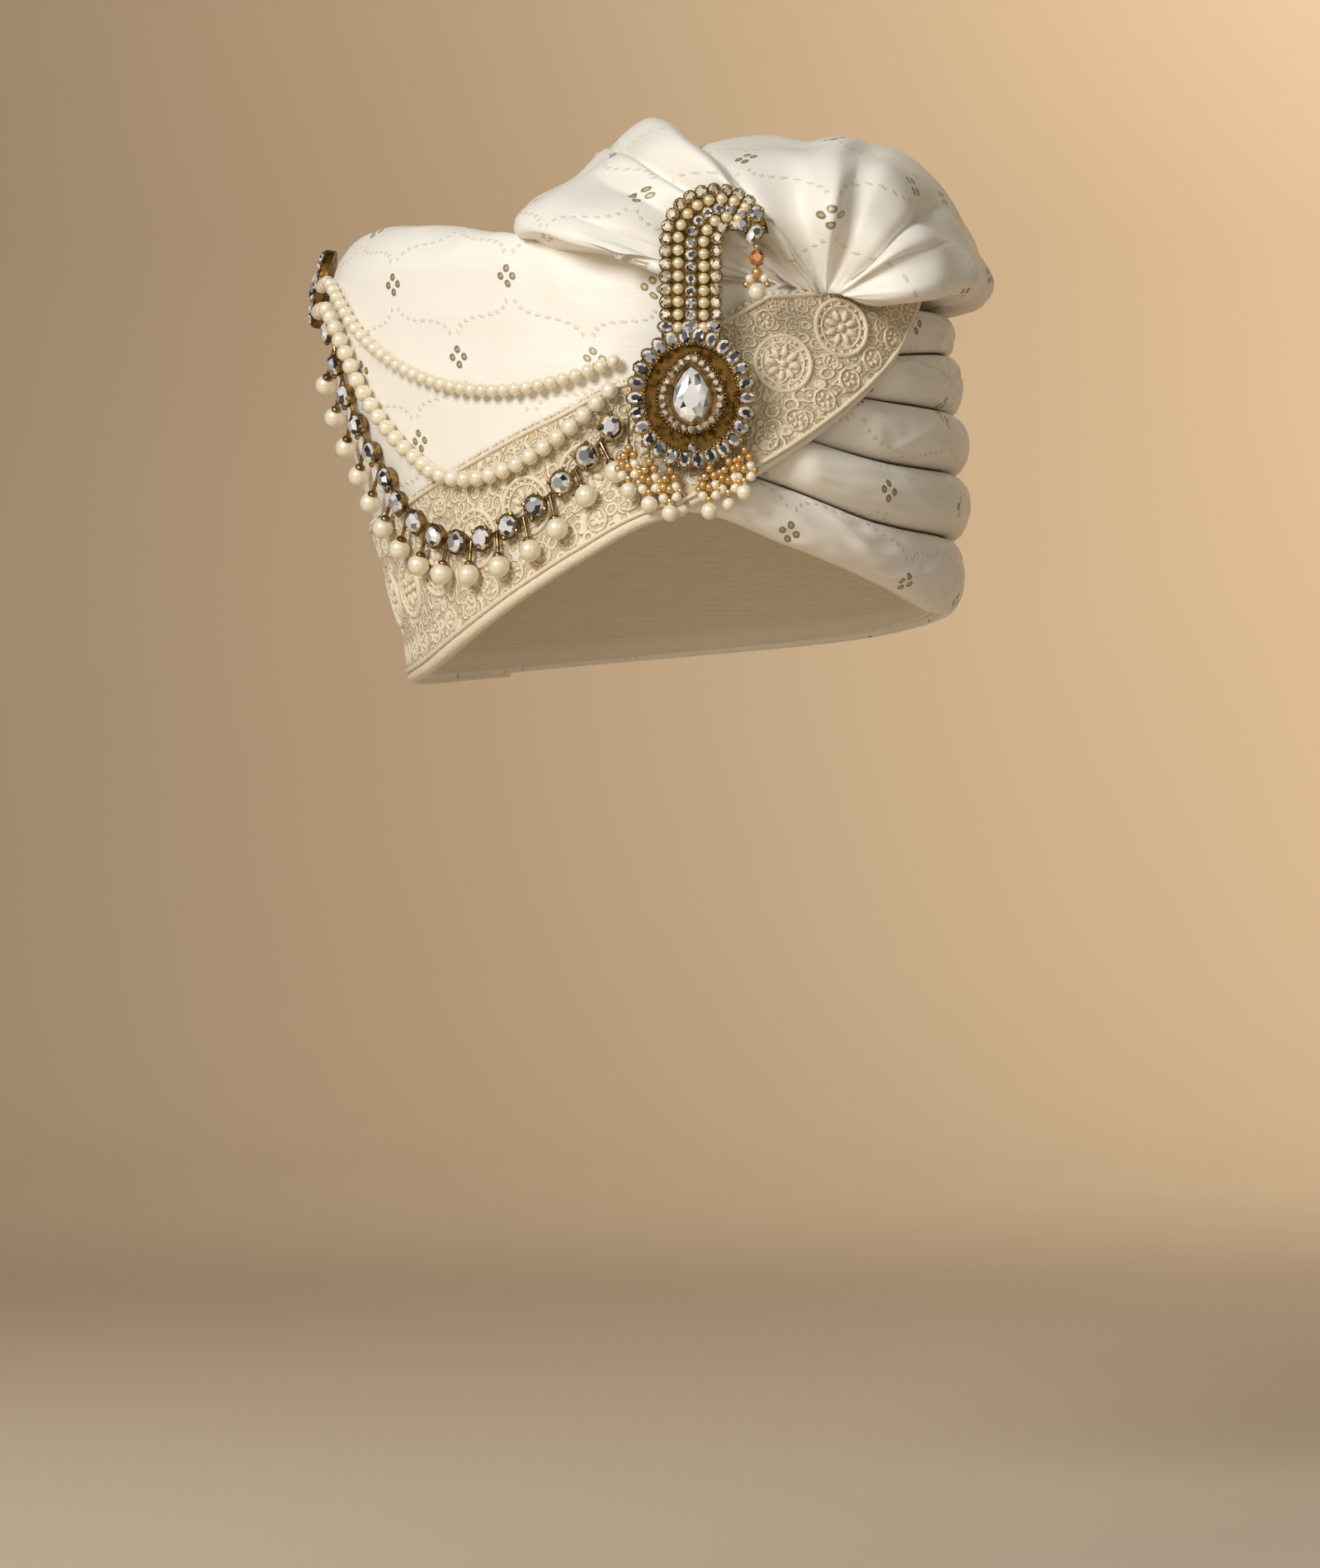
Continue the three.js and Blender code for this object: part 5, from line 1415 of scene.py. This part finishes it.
ahead = unit(np.gradient(seats, axis=0))
chain_cups = grow("chain_cups", seed_mesh(
    seats, out=seat_out, ahead=ahead, size=np.array(CHAIN["cup"]) * MM), cup_tree, antique_gold)
chain_stones = grow("chain_stones", seed_mesh(
    seats + seat_out * (cup_height - CHAIN["sunk"]), out=seat_out, ahead=ahead,
    size=np.array(CHAIN["stone"]) * MM), stone_tree, crystal, Shuffle=5, Table=0.3)
print("chain pitch:", round(float(stops[1]), 1), "mm")

# %% [markdown]
# ## Links and pearls of the chain
# Short links join the cups, and a capped pearl hangs from each link on a wire. Where the chain runs
# steeply, a pearl that hung straight down would lie on the next stone, so it swings aside there.

# %% Links and pearls of the chain
middle_height = seats + seat_out * cup_height / 2
link_from, link_to = middle_height[:-1], middle_height[1:]
link_middle = (link_from + link_to) / 2
heading = unit(link_to - link_from)
steep = np.abs((heading * seat_down[:-1]).sum(axis=1))
side_step = np.degrees(CHAIN["swing"] * steep / HEAD_HALF_WIDTH) * np.sign(heading[:, 2])
pearl_angle = (stone_angle[:-1] + stone_angle[1:]) / 2 + side_step
pearl_height = link_middle[:, 2] - CHAIN["drop"]
hung, hung_out, _ = panel_frame(
    pearl_angle, pearl_height, seat(pearl_angle, pearl_height) + CHAIN["pearl"] / 2)
chain_pearls = grow("chain_pearls", seed_mesh(
    hung, out=hung_out, ahead=(0, 0, 1), size=np.full(3, CHAIN["pearl"] * MM)), bead_tree, pearl_lacquer,
    Segments=24, Rings=14)
wires = [np.stack(ends) for ends in zip(link_from, link_to)]
wires += [np.stack(ends) for ends in zip(link_middle, hung)]
lead = np.linspace(CHAIN["hook"], CHAIN["start"], 8)
wires.append(panel_frame(*lead.T, seat(*lead.T) + cup_height / 2)[0])
chain_links = grow("chain_links", path_seed(wires, wires), cord_tree, antique_gold,
                   Radius=CHAIN["wire"] * MM, Sides=6)
to_link = unit(link_middle - hung)
pearl_caps = grow("chain_pearl_caps", seed_mesh(
    hung + to_link * CHAIN["pearl"] * 0.5, out=to_link, ahead=(1, 0, 0), size=np.array(CHAIN["cap"]) * MM),
    bead_tree, antique_gold)
keep(chain_cups, "antique_gold", "stone_chain")
keep(chain_links, "antique_gold")
keep(pearl_caps, "antique_gold")
keep(chain_stones, "crystal", *[f"chain_stone_{n + 1:02d}" for n in range(CHAIN["stones"])])
keep(chain_pearls, "pearl", *[f"chain_pearl_{n + 1:02d}" for n in range(CHAIN["stones"] - 1)])

# %% [markdown]
# ## Main brooch
# The brooch is a cast frame: a round halo with a pear-shaped setting in it, and a broad stem that bends
# into a hook on top. All its outlines are worked out in its own flat plane, across and up, and one
# function puts them in the turban's frame. The stem is one centre line with a width that shrinks to the tip.

# %% Outlines of the brooch
BROOCH = {
    "x": 2.6, "y": -111.6, "z": 67.7, "halo": (37.5, 41.0), "band": 5.0, "plate": 1.0, "band_top": 2.2,
    "pear": (20.0, 23.5), "pear_top": 3.0, "crystal": (11.2, 16.4), "stem_top": 1.4, "stem_foot": 17.0,
    "stem_half": 7.6, "stem_rim": 1.12, "tip_half": 3.0, "hook_centre": (9.6, 45.2), "hook_radius": 9.75,
    "hook_bend": math.radians(168), "hook_narrows": 0.3, "pin": 2.0,
}
PEAR = {"point": 0.42, "point_ease": 1.6, "above": 0.56, "below": 0.44}


def on_brooch(x, y, z):
    """Places given across, up and out of the brooch, in the turban's frame."""
    return np.stack(np.broadcast_arrays(BROOCH["x"] + x, BROOCH["y"] - z, BROOCH["z"] + y), axis=-1)


def oval(width, tall, count=72):
    turn = np.linspace(0, 2 * np.pi, count, endpoint=False)
    return np.stack([width / 2 * np.cos(turn), tall / 2 * np.sin(turn)], axis=-1)


def pear(width, tall, count=64):
    """A drop outline, round below and pointed above."""
    turn = np.linspace(0, 2 * np.pi, count, endpoint=False)
    narrow = 1 - PEAR["point"] * np.maximum(np.sin(turn), 0) ** PEAR["point_ease"]
    rise = np.where(np.sin(turn) > 0, PEAR["above"] * np.sin(turn), PEAR["below"] * np.sin(turn))
    return np.stack([width / 2 * np.cos(turn) * narrow, rise * tall], axis=-1)


def hook_paths(share, side):
    """Places on the stem and hook: share runs from foot to tip, side from -1 to 1 across it."""
    centre_x, centre_y = BROOCH["hook_centre"]
    straight = centre_y - BROOCH["stem_foot"]
    run = share * (straight + BROOCH["hook_radius"] * BROOCH["hook_bend"])
    turn = np.clip((run - straight) / BROOCH["hook_radius"], 0, None)
    narrowed = smooth_step(turn, BROOCH["hook_narrows"], BROOCH["hook_bend"])
    reach = BROOCH["hook_radius"] + side * blend(BROOCH["stem_half"], BROOCH["tip_half"], narrowed)
    y = np.where(run > straight, centre_y + reach * np.sin(turn), BROOCH["stem_foot"] + run)
    return np.stack([centre_x - reach * np.cos(turn), y], axis=-1)


print("hook tip:", hook_paths(np.array([1.0]), 0.0).round(1).tolist(), "mm")

# %% [markdown]
# ## Plates of the brooch
# Cast metal has no sharp edges. Each plate is a stack of outlines with the top one drawn in a little,
# which gives a bevel that catches the light. A band is the same stack carried on down inside a hole.


# %% Brooch plates
BEVEL = 0.35


def inset(outline, distance):
    """An outline moved inwards along its own normals."""
    step = np.roll(outline, -1, axis=0) - np.roll(outline, 1, axis=0)
    normal = unit(np.stack([-step[:, 1], step[:, 0]], axis=-1))
    return outline + normal * distance


def stack(body, rings, hollow=False):
    """Walls from each ring of places to the next. A hollow stack ends on its first, others are capped."""
    rings = [[body.verts.new(place * MM) for place in ring] for ring in rings]
    for ring, upper in zip(rings, rings[1:] + rings[:1] if hollow else rings[1:]):
        for here in range(len(ring)):
            after = (here + 1) % len(ring)
            body.faces.new((ring[here], ring[after], upper[after], upper[here]))
    if not hollow:
        body.faces.new(rings[-1])
        body.faces.new(rings[0][::-1])


def finish_body(name, body, finish):
    bmesh.ops.recalc_face_normals(body, faces=body.faces)
    mesh = bpy.data.meshes.new(name)
    body.to_mesh(mesh)
    body.free()
    return link(name, mesh, finish)


def plates(name, finish, *rows):
    """Bevelled plates, each an outline between two heights above the back and perhaps a hole's outline."""
    body = bmesh.new()
    for outline, low, high, *hole in rows:
        loops = [(outline, low), (outline, high - BEVEL), (inset(outline, BEVEL), high)]
        for edge in hole:
            loops += [(inset(edge, -BEVEL), high), (edge, high - BEVEL), (edge, low)]
        stack(body, [on_brooch(*loop.T, z) for loop, z in loops], hollow=bool(hole))
    return finish_body(name, body, finish)


print("plates have a bevelled edge of", BEVEL, "mm")

# %% [markdown]
# ## The frame of the brooch
# The back plate and the stem are in the darker gold, which is partly the plating's antique brown and
# partly painted shade between the stones. The halo band, the setting and the bezel round the big stone
# are worn bright. A plain pin goes from the back plate to the lace, because the brooch is flat and the
# cloth behind it curves away.

# %% Brooch frame
BACK_INSET = 1.2
BAND_INSET = 1.0
BEZEL = {"outside": 1.6, "inside": 0.3, "low": -1.2, "high": 0.1}
SETTING_DROP = 0.9


def wider(size, by):
    """A width and a height made larger by the same measure."""
    return [measure + by for measure in size]


well = oval(*wider(BROOCH["halo"], -2 * BROOCH["band"]))
share = np.linspace(0, 1, 60)
stem_outline = np.concatenate([
    hook_paths(share, BROOCH["stem_rim"]), hook_paths(share[::-1], -BROOCH["stem_rim"])])[::-1]
pin_angle = math.degrees(math.atan2(BROOCH["x"] / HEAD_HALF_WIDTH, -BROOCH["y"] / HEAD_HALF_DEPTH))
pin_foot = BROOCH["y"] - panel_frame(np.array([pin_angle]), np.array([BROOCH["z"]]), LACE_TOP)[0][0, 1]
back_plate = plates(
    "brooch_back_plate", dark_gold,
    (oval(*wider(BROOCH["halo"], -2 * BACK_INSET)), 0.0, BROOCH["plate"]),
    (oval(BROOCH["pin"], BROOCH["pin"], 16), pin_foot, BROOCH["plate"] / 2))
brooch_frame = plates(
    "brooch_frame_metal", antique_gold,
    (oval(*wider(BROOCH["halo"], -2 * BAND_INSET)), BROOCH["plate"] * 0.2, BROOCH["band_top"], well),
    (pear(*BROOCH["pear"]), BROOCH["plate"] * 0.5, BROOCH["pear_top"] - SETTING_DROP),
    (pear(*wider(BROOCH["crystal"], BEZEL["outside"])), BROOCH["pear_top"] + BEZEL["low"],
     BROOCH["pear_top"] + BEZEL["high"], pear(*wider(BROOCH["crystal"], BEZEL["inside"]))))
stem_plate = plates("brooch_stem_plate", dark_gold, (stem_outline, 0.1, BROOCH["stem_top"]))
keep(brooch_frame, "antique_gold", "brooch_frame")
keep(stem_plate, "antique_gold")
keep(back_plate, "antique_gold")
print("the pin reaches", round(-pin_foot, 1), "mm behind the back plate")

# %% [markdown]
# ## Places for stones on the brooch
# Every stone and bead needs a place, a direction and a size. One function turns flat places on the brooch
# into such seeds, and another spaces them evenly along an outline or a column, as a setter does.

# %% Seeds on the brooch
STONE = {
    # length, width and height of each kind, in mm
    "halo": (5.2, 3.8, 1.8), "bridge": (4.8, 3.2, 1.8), "rim": (2.35, 2.6, 1.5), "foot": (3.6, 2.3, 1.4),
    "tip": (4.6, 4.3, 1.8), "stem": (3.4, 3.3, 1.4), "edge": (3.5, 3.5, 1.4), "bead": (3.4, 3.4, 2.8),
    "grain": (0.95, 0.95, 0.95),
}
out_of_brooch = np.array([0.0, -1.0, 0.0])


def brooch_seeds(kind, flat, ahead, lift):
    """Seeds for one kind of stone or bead: places across and up, the way they point and their size."""
    flat = np.asarray(flat, float)
    ahead = np.broadcast_to(np.asarray(ahead, float), flat.shape)
    pointing = np.stack([ahead[:, 0], np.zeros(len(flat)), ahead[:, 1]], axis=-1)
    size = np.broadcast_to(np.array(STONE[kind]) * MM, (len(flat), 3))
    return on_brooch(*flat.T, lift), pointing, size


def even(path, pitch):
    """Places along a flat path at an even pitch, with the direction of the path there."""
    run = travelled(path, 0)
    at = np.linspace(0, run[-1], max(2, round(run[-1] / pitch) + 1))
    places = np.stack([np.interp(at, run, path[:, axis]) for axis in (0, 1)], axis=-1)
    return places, unit(np.gradient(places, axis=0))


def even_round(path, pitch):
    """The same round a closed outline, where the last place would fall on the first."""
    return [part[:-1] for part in even(np.concatenate([path, path[:1]]), pitch)]


def joined(sets):
    """Several sets of seeds as one."""
    return [np.concatenate(part) for part in zip(*sets)]


def set_on_brooch(name, sets, tree, finish, **sizes):
    points, ahead, size = joined(sets)
    return grow(name, seed_mesh(points, out=out_of_brooch, ahead=ahead, size=size), tree, finish, **sizes)


def cups_under(points, out, ahead, size, cup):
    """Seeds of the cups that hold stones: lower and wider than the stones, and all of one height."""
    wide = size * np.array([cup["wider"], cup["wider"], 0]) + np.array([0, 0, cup["tall"] * MM])
    return seed_mesh(points - out * cup["lower"], out=out, ahead=ahead, size=wide)


print("out of the brooch:", out_of_brooch)

# %% [markdown]
# ## Stones and beads of the brooch
# A ring of oval stones fills the halo. Five columns run up the stem and round the hook: warm stones at
# the two edges, clear ones in the middle and champagne beads between. Each stone sits in a cup, and rows
# of fine grains, called milgrain, edge the well and the setting.

# %% Brooch stones and beads
HALO_STONES = 26
HALO_INSET = 2.5
BRIDGE = ((-7.4, 20.6), (-0.2, 20.9), (6.6, 20.9))
FOOT_STONE = (0.2, -14.6)
RIM_PITCH = 2.35
GRAIN_PITCH = 1.15
STEM_PITCH = 3.6
STEM_REACH = np.linspace(0.06, 0.86, 300)
BROOCH_CUP = {"lower": 1.0, "wider": 1.12, "tall": 1.2}


def stem_column(kind, side, lift):
    """Seeds at an even pitch up one column of the stem and round the hook."""
    return brooch_seeds(kind, *even(hook_paths(STEM_REACH, side), STEM_PITCH), BROOCH["stem_top"] + lift)


halo_width, halo_tall = BROOCH["halo"]
turn = np.radians(90 + 360 * (np.arange(HALO_STONES) + 0.5) / HALO_STONES)
halo_at = np.stack([
    (halo_width / 2 - HALO_INSET) * np.cos(turn), (halo_tall / 2 - HALO_INSET) * np.sin(turn)], axis=-1)
tip_at = hook_paths(np.array([0.9, 0.91, 0.985]), np.array([-0.7, 0.75, 0.0]))
clear_sets = [
    brooch_seeds("halo", halo_at, unit(halo_at), BROOCH["band_top"] - 0.3),
    brooch_seeds("bridge", BRIDGE, (1, 0), BROOCH["band_top"]),
    brooch_seeds("foot", [FOOT_STONE], (0, 1), BROOCH["plate"] + 0.6),
    brooch_seeds("tip", tip_at, (0.3, 1), BROOCH["stem_top"] + 0.25),
    stem_column("stem", 0.0, 0.25)]
warm_sets = [stem_column("edge", side, 0.25) for side in (-0.97, 0.97)]
rim_path = pear(BROOCH["pear"][0] - 3.0, BROOCH["pear"][1] - 2.6, 200)
rim_seeds = brooch_seeds("rim", *even_round(rim_path, RIM_PITCH), BROOCH["pear_top"] - SETTING_DROP)
brooch_stones = set_on_brooch("brooch_stones", clear_sets, stone_tree, crystal, Shuffle=9, Table=0.05)
stem_stones = set_on_brooch("brooch_stem_stones", [*warm_sets, rim_seeds], stone_tree, champagne,
                            Shuffle=14, Table=0.35)
points, ahead, size = joined(clear_sets + warm_sets)
brooch_cups = grow("brooch_cups", cups_under(points, out_of_brooch, ahead, size, BROOCH_CUP),
                   cup_tree, antique_gold, Sides=12, Claw=0.11)
stem_beads = set_on_brooch("brooch_stem_beads", [stem_column("bead", side, 0.6) for side in (-0.49, 0.49)],
                           bead_tree, champagne_lacquer)
milgrain = [
    brooch_seeds("grain", *even_round(path, GRAIN_PITCH), lift)
    for path, lift in ((well, BROOCH["band_top"]), (pear(*BROOCH["pear"], 200), BROOCH["pear_top"] - 0.7))]
brooch_milgrain = set_on_brooch("brooch_milgrain", milgrain, bead_tree, antique_gold, Segments=8, Rings=5)
for piece, slot in ((brooch_stones, "crystal"), (stem_stones, "crystal"), (stem_beads, "pearl"),
                    (brooch_cups, "antique_gold"), (brooch_milgrain, "antique_gold")):
    keep(piece, slot)

# %% [markdown]
# ## Pear crystal
# The stone in the middle is cut as a drop, with a flat table and two rows of slanting facets. Three
# outlines of the same drop, each smaller and higher, give the facets, and the corners of one row
# stand between those of the next, so the facets are triangles as on a real stone.

# %% Pear crystal
CUT = (
    # scale of the outline, height above the brooch's back
    (1.0, 1.6), (0.97, 2.5), (0.74, 3.8), (0.45, 4.3),
)
CORNERS = 10
TABLE_LIGHT = 0.95
body = bmesh.new()
rings = []
for level, (scale, lift) in enumerate(CUT):
    outline = pear(*BROOCH["crystal"], CORNERS * 2)[level % 2::2] * scale
    rings.append([body.verts.new(place * MM) for place in on_brooch(*outline.T, lift)])
for level, (ring, upper) in enumerate(zip(rings, rings[1:])):
    for here in range(CORNERS):
        after = (here + 1) % CORNERS
        tip, foot = (after, here) if level % 2 else (here, after)
        body.faces.new((ring[here], ring[after], upper[tip]))
        body.faces.new((ring[foot], upper[after], upper[here]))
body.faces.new(rings[-1])
body.faces.new(rings[0][::-1])
pear_crystal = finish_body("brooch_pear_crystal", body, crystal)
facets = np.random.default_rng(4).uniform(0.15, 1.0, len(pear_crystal.data.polygons))
# The table of the pear stone is set bright: a painted highlight.
facets[-2] = TABLE_LIGHT
pear_crystal.data.attributes.new("facet", "FLOAT", "FACE").data.foreach_set("value", facets)
keep(pear_crystal, "crystal", "brooch_crystal")

# %% [markdown]
# ## Fringe and hook drop
# Under the halo hang short drops: a cluster of golden beads on wires and a pearl at the end. A longer
# one hangs from the tip of the hook, with a clear stone, an amber stone and a little gold cup over its
# pearl. They are all beads on points, so two lists of places make them.

# %% Places of the drops
FRINGE = (
    # across, height of the pearl, size of the pearl
    (-15.6, 41.0, 4.8), (-9.6, 37.0, 5.0), (-3.6, 34.4, 5.0), (7.8, 35.0, 5.0), (13.4, 37.0, 3.8),
    (18.0, 40.4, 4.8),
)
CLUSTER = (
    # across, up from the pearl's middle, size, kind of bead
    (-1.9, 4.4, 3.0, "cream"), (1.9, 4.7, 3.0, "cream"), (0.0, 6.8, 2.8, "golden"),
    (0.0, 3.4, 2.4, "gold"), (-1.8, 7.4, 2.8, "golden"), (1.7, 7.6, 2.8, "cream"),
    (-1.3, 9.9, 2.6, "gold"), (1.4, 10.2, 2.7, "golden"), (0.1, 12.2, 2.6, "golden"),
    (-3.0, 6.2, 2.2, "gold"), (3.0, 6.4, 2.2, "golden"), (-2.6, 9.2, 2.1, "golden"),
)
HOOK_BEADS = (
    # across, height, size, kind
    (-2.1, 102.4, 2.6, "cream"), (2.1, 102.4, 2.6, "cream"), (0, 104.0, 3.4, "golden"),
    (0, 111.6, 1.6, "gold"), (-3.1, 100.6, 2.0, "gold"), (3.1, 100.6, 2.0, "gold"),
)
HOOK_WIRES = (
    # across and height of both ends
    ((-2.4, 116.5), (0, 111.0)), ((0, 111.5), (0, 100.0)),
)
HOOK_X = 21.6
HOOK_PEARL = (98.4, 5.3)
CLUSTER_LEAN = {"from": 6, "by": 0.4}
drop_plane = BROOCH["y"] - 1.3
pearls, beads, wires = [], {"golden": [], "gold": [], "cream": []}, []
for x, z, size in FRINGE:
    foot_share = np.clip((x - BROOCH["x"]) / (halo_width / 2), -0.98, 0.98)
    halo_foot = BROOCH["z"] - halo_tall / 2 * math.sqrt(1 - foot_share ** 2)
    pearls.append((x, drop_plane, z, size))
    wires.append(np.array([(x, drop_plane, z + size / 2), (x, drop_plane, halo_foot + 1.0)]))
    for aside, up, bead, kind in CLUSTER:
        if z + up < halo_foot:
            lean = CLUSTER_LEAN["by"] * (up > CLUSTER_LEAN["from"])
            beads[kind].append((x + aside, drop_plane - lean, z + up, bead))
for aside, z, bead, kind in HOOK_BEADS:
    beads[kind].append((HOOK_X + aside, drop_plane, z, bead))
pearls.append((HOOK_X, drop_plane, *HOOK_PEARL))
wires += [np.array([(HOOK_X + aside, drop_plane, z) for aside, z in ends]) for ends in HOOK_WIRES]
print("drops:", len(pearls), "pearls and", sum(map(len, beads.values())), "small beads")

# %% [markdown]
# ## Beads of the drops
# The lists are grown by kind: cream pearls with enough faces to look round, golden beads, polished gold
# beads and the wires that carry them. The two stones of the hook drop are single seeds of the stone tree.


# %% Fringe and hook drop
HOOK_STONES = {
    # across, forward, height, direction, size, finish, seed
    "hook_clear_stone": (-1.6, 0.4, 114.6, (0.3, 0, 1), (5.2, 3.0, 1.6), crystal, 3),
    "hook_amber_stone": (0.0, 0.2, 108.4, (0, 0, 1), (5.2, 5.0, 1.9), amber, 8),
}
FRINGE_WIRE = 0.35


def round_seeds(rows):
    rows = np.array(rows)
    return seed_mesh(rows[:, :3], out=(0, 0, 1), ahead=(1, 0, 0), size=np.repeat(rows[:, 3:], 3, axis=1) * MM)


pearls += beads["cream"]
fringe_pearls = grow("fringe_pearls", round_seeds(pearls), bead_tree, pearl_lacquer, Segments=18, Rings=11)
fringe_golden = grow("fringe_golden_beads", round_seeds(beads["golden"]), bead_tree, golden_lacquer)
fringe_gold = grow("fringe_gold_beads", round_seeds(beads["gold"]), bead_tree, bright_gold)
fringe_wires = grow("fringe_wires", path_seed(wires, wires), cord_tree, antique_gold,
                    Radius=FRINGE_WIRE * MM, Sides=6)
hook_stones = [
    grow(name, seed_mesh([(HOOK_X + aside, drop_plane - forward, z)], out=out_of_brooch, ahead=ahead,
                         size=np.array(size) * MM), stone_tree, finish, Shuffle=seed)
    for name, (aside, forward, z, ahead, size, finish, seed) in HOOK_STONES.items()]
keep(fringe_pearls, "pearl", *[f"fringe_drop_{n + 1}" for n in range(len(FRINGE))])
keep(fringe_golden, "pearl")
keep(fringe_gold, "antique_gold")
keep(fringe_wires, "antique_gold")
hook_clear, hook_amber = hook_stones
keep(hook_amber, "crystal", "brooch_hook_drop")
keep(hook_clear, "crystal")

# %% [markdown]
# ## Side brooch
# The strings start from a small oval brooch on the left of the panel. Seen from the front it is almost
# edge on, so it shows as a dark rim with stones. It is made like the main one: a domed plate, a ring of
# stones in cups and one large stone in the middle.

# %% Side brooch
SIDE = {"angle": -93.0, "height": 111.0, "width": 17.0, "tall": 25.0, "depth": 3.0, "seat": 1.2,
        "corners": 48, "stones": 18, "inset": 1.9, "stone": (3.2, 2.6, 1.3),
        "middle_stone": (13.0, 7.5, 2.4), "middle_up": 0.4}
SIDE_LEVELS = (
    # height above the top of the rim, scale of the outline
    (-SIDE["depth"], 1.0), (-0.5, 1.0), (0.0, 0.95), (0.5, 0.6),
)
SIDE_CUP = {"lower": 0.9, "wider": 1.2, "tall": 1.1}
centre, side_out, side_down = (part[0] for part in panel_frame(
    np.array([SIDE["angle"]]), np.array([SIDE["height"]]), SIDE["seat"]))
side_up = -side_down
side_right = np.cross(side_up, side_out)


def on_side(flat, z):
    """Places given across and up the side brooch, and how far out of it."""
    return centre + flat[:, :1] * side_right + flat[:, 1:] * side_up + z * side_out


side_outline = oval(SIDE["width"], SIDE["tall"], SIDE["corners"])
body = bmesh.new()
stack(body, [on_side(side_outline * scale, SIDE["depth"] + lift) for lift, scale in SIDE_LEVELS])
# The plate is in the darker gold, which is partly painted shade on its edge-on rim.
side_plate = finish_body("side_brooch_metal", body, dark_gold)
ring_at = oval(*wider((SIDE["width"], SIDE["tall"]), -2 * SIDE["inset"]), SIDE["stones"])
ring_ahead = on_side(oval(2, 2, SIDE["stones"]), 0) - centre
middle_at = on_side(np.zeros((1, 2)), SIDE["depth"] + SIDE["middle_up"])
points = np.concatenate([on_side(ring_at, SIDE["depth"]), middle_at])
ahead = np.concatenate([ring_ahead, side_up[None, :]])
size = np.array([SIDE["stone"]] * SIDE["stones"] + [SIDE["middle_stone"]]) * MM
side_stones = grow("side_brooch_stones", seed_mesh(points, out=side_out, ahead=ahead, size=size),
                   stone_tree, crystal, Shuffle=12)
side_cups = grow("side_brooch_cups", cups_under(points, side_out, ahead, size, SIDE_CUP),
                 cup_tree, antique_gold, Sides=12, Claw=0.1)
keep(side_plate, "antique_gold", "side_brooch")
keep(side_cups, "antique_gold")
keep(side_stones, "crystal")

# %% [markdown]
# ## Attaching the pieces
# Every piece rides on the one body of the turban, and the plain solids of the frame that it stands for
# are hidden.

# %% Attach and hide
for piece, slot, nodes in pieces.values():
    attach(piece, "root")
    if nodes:
        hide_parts(*nodes)
low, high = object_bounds()
print("pieces:", len(pieces), "size", [round(b - a, 4) for a, b in zip(low, high)])
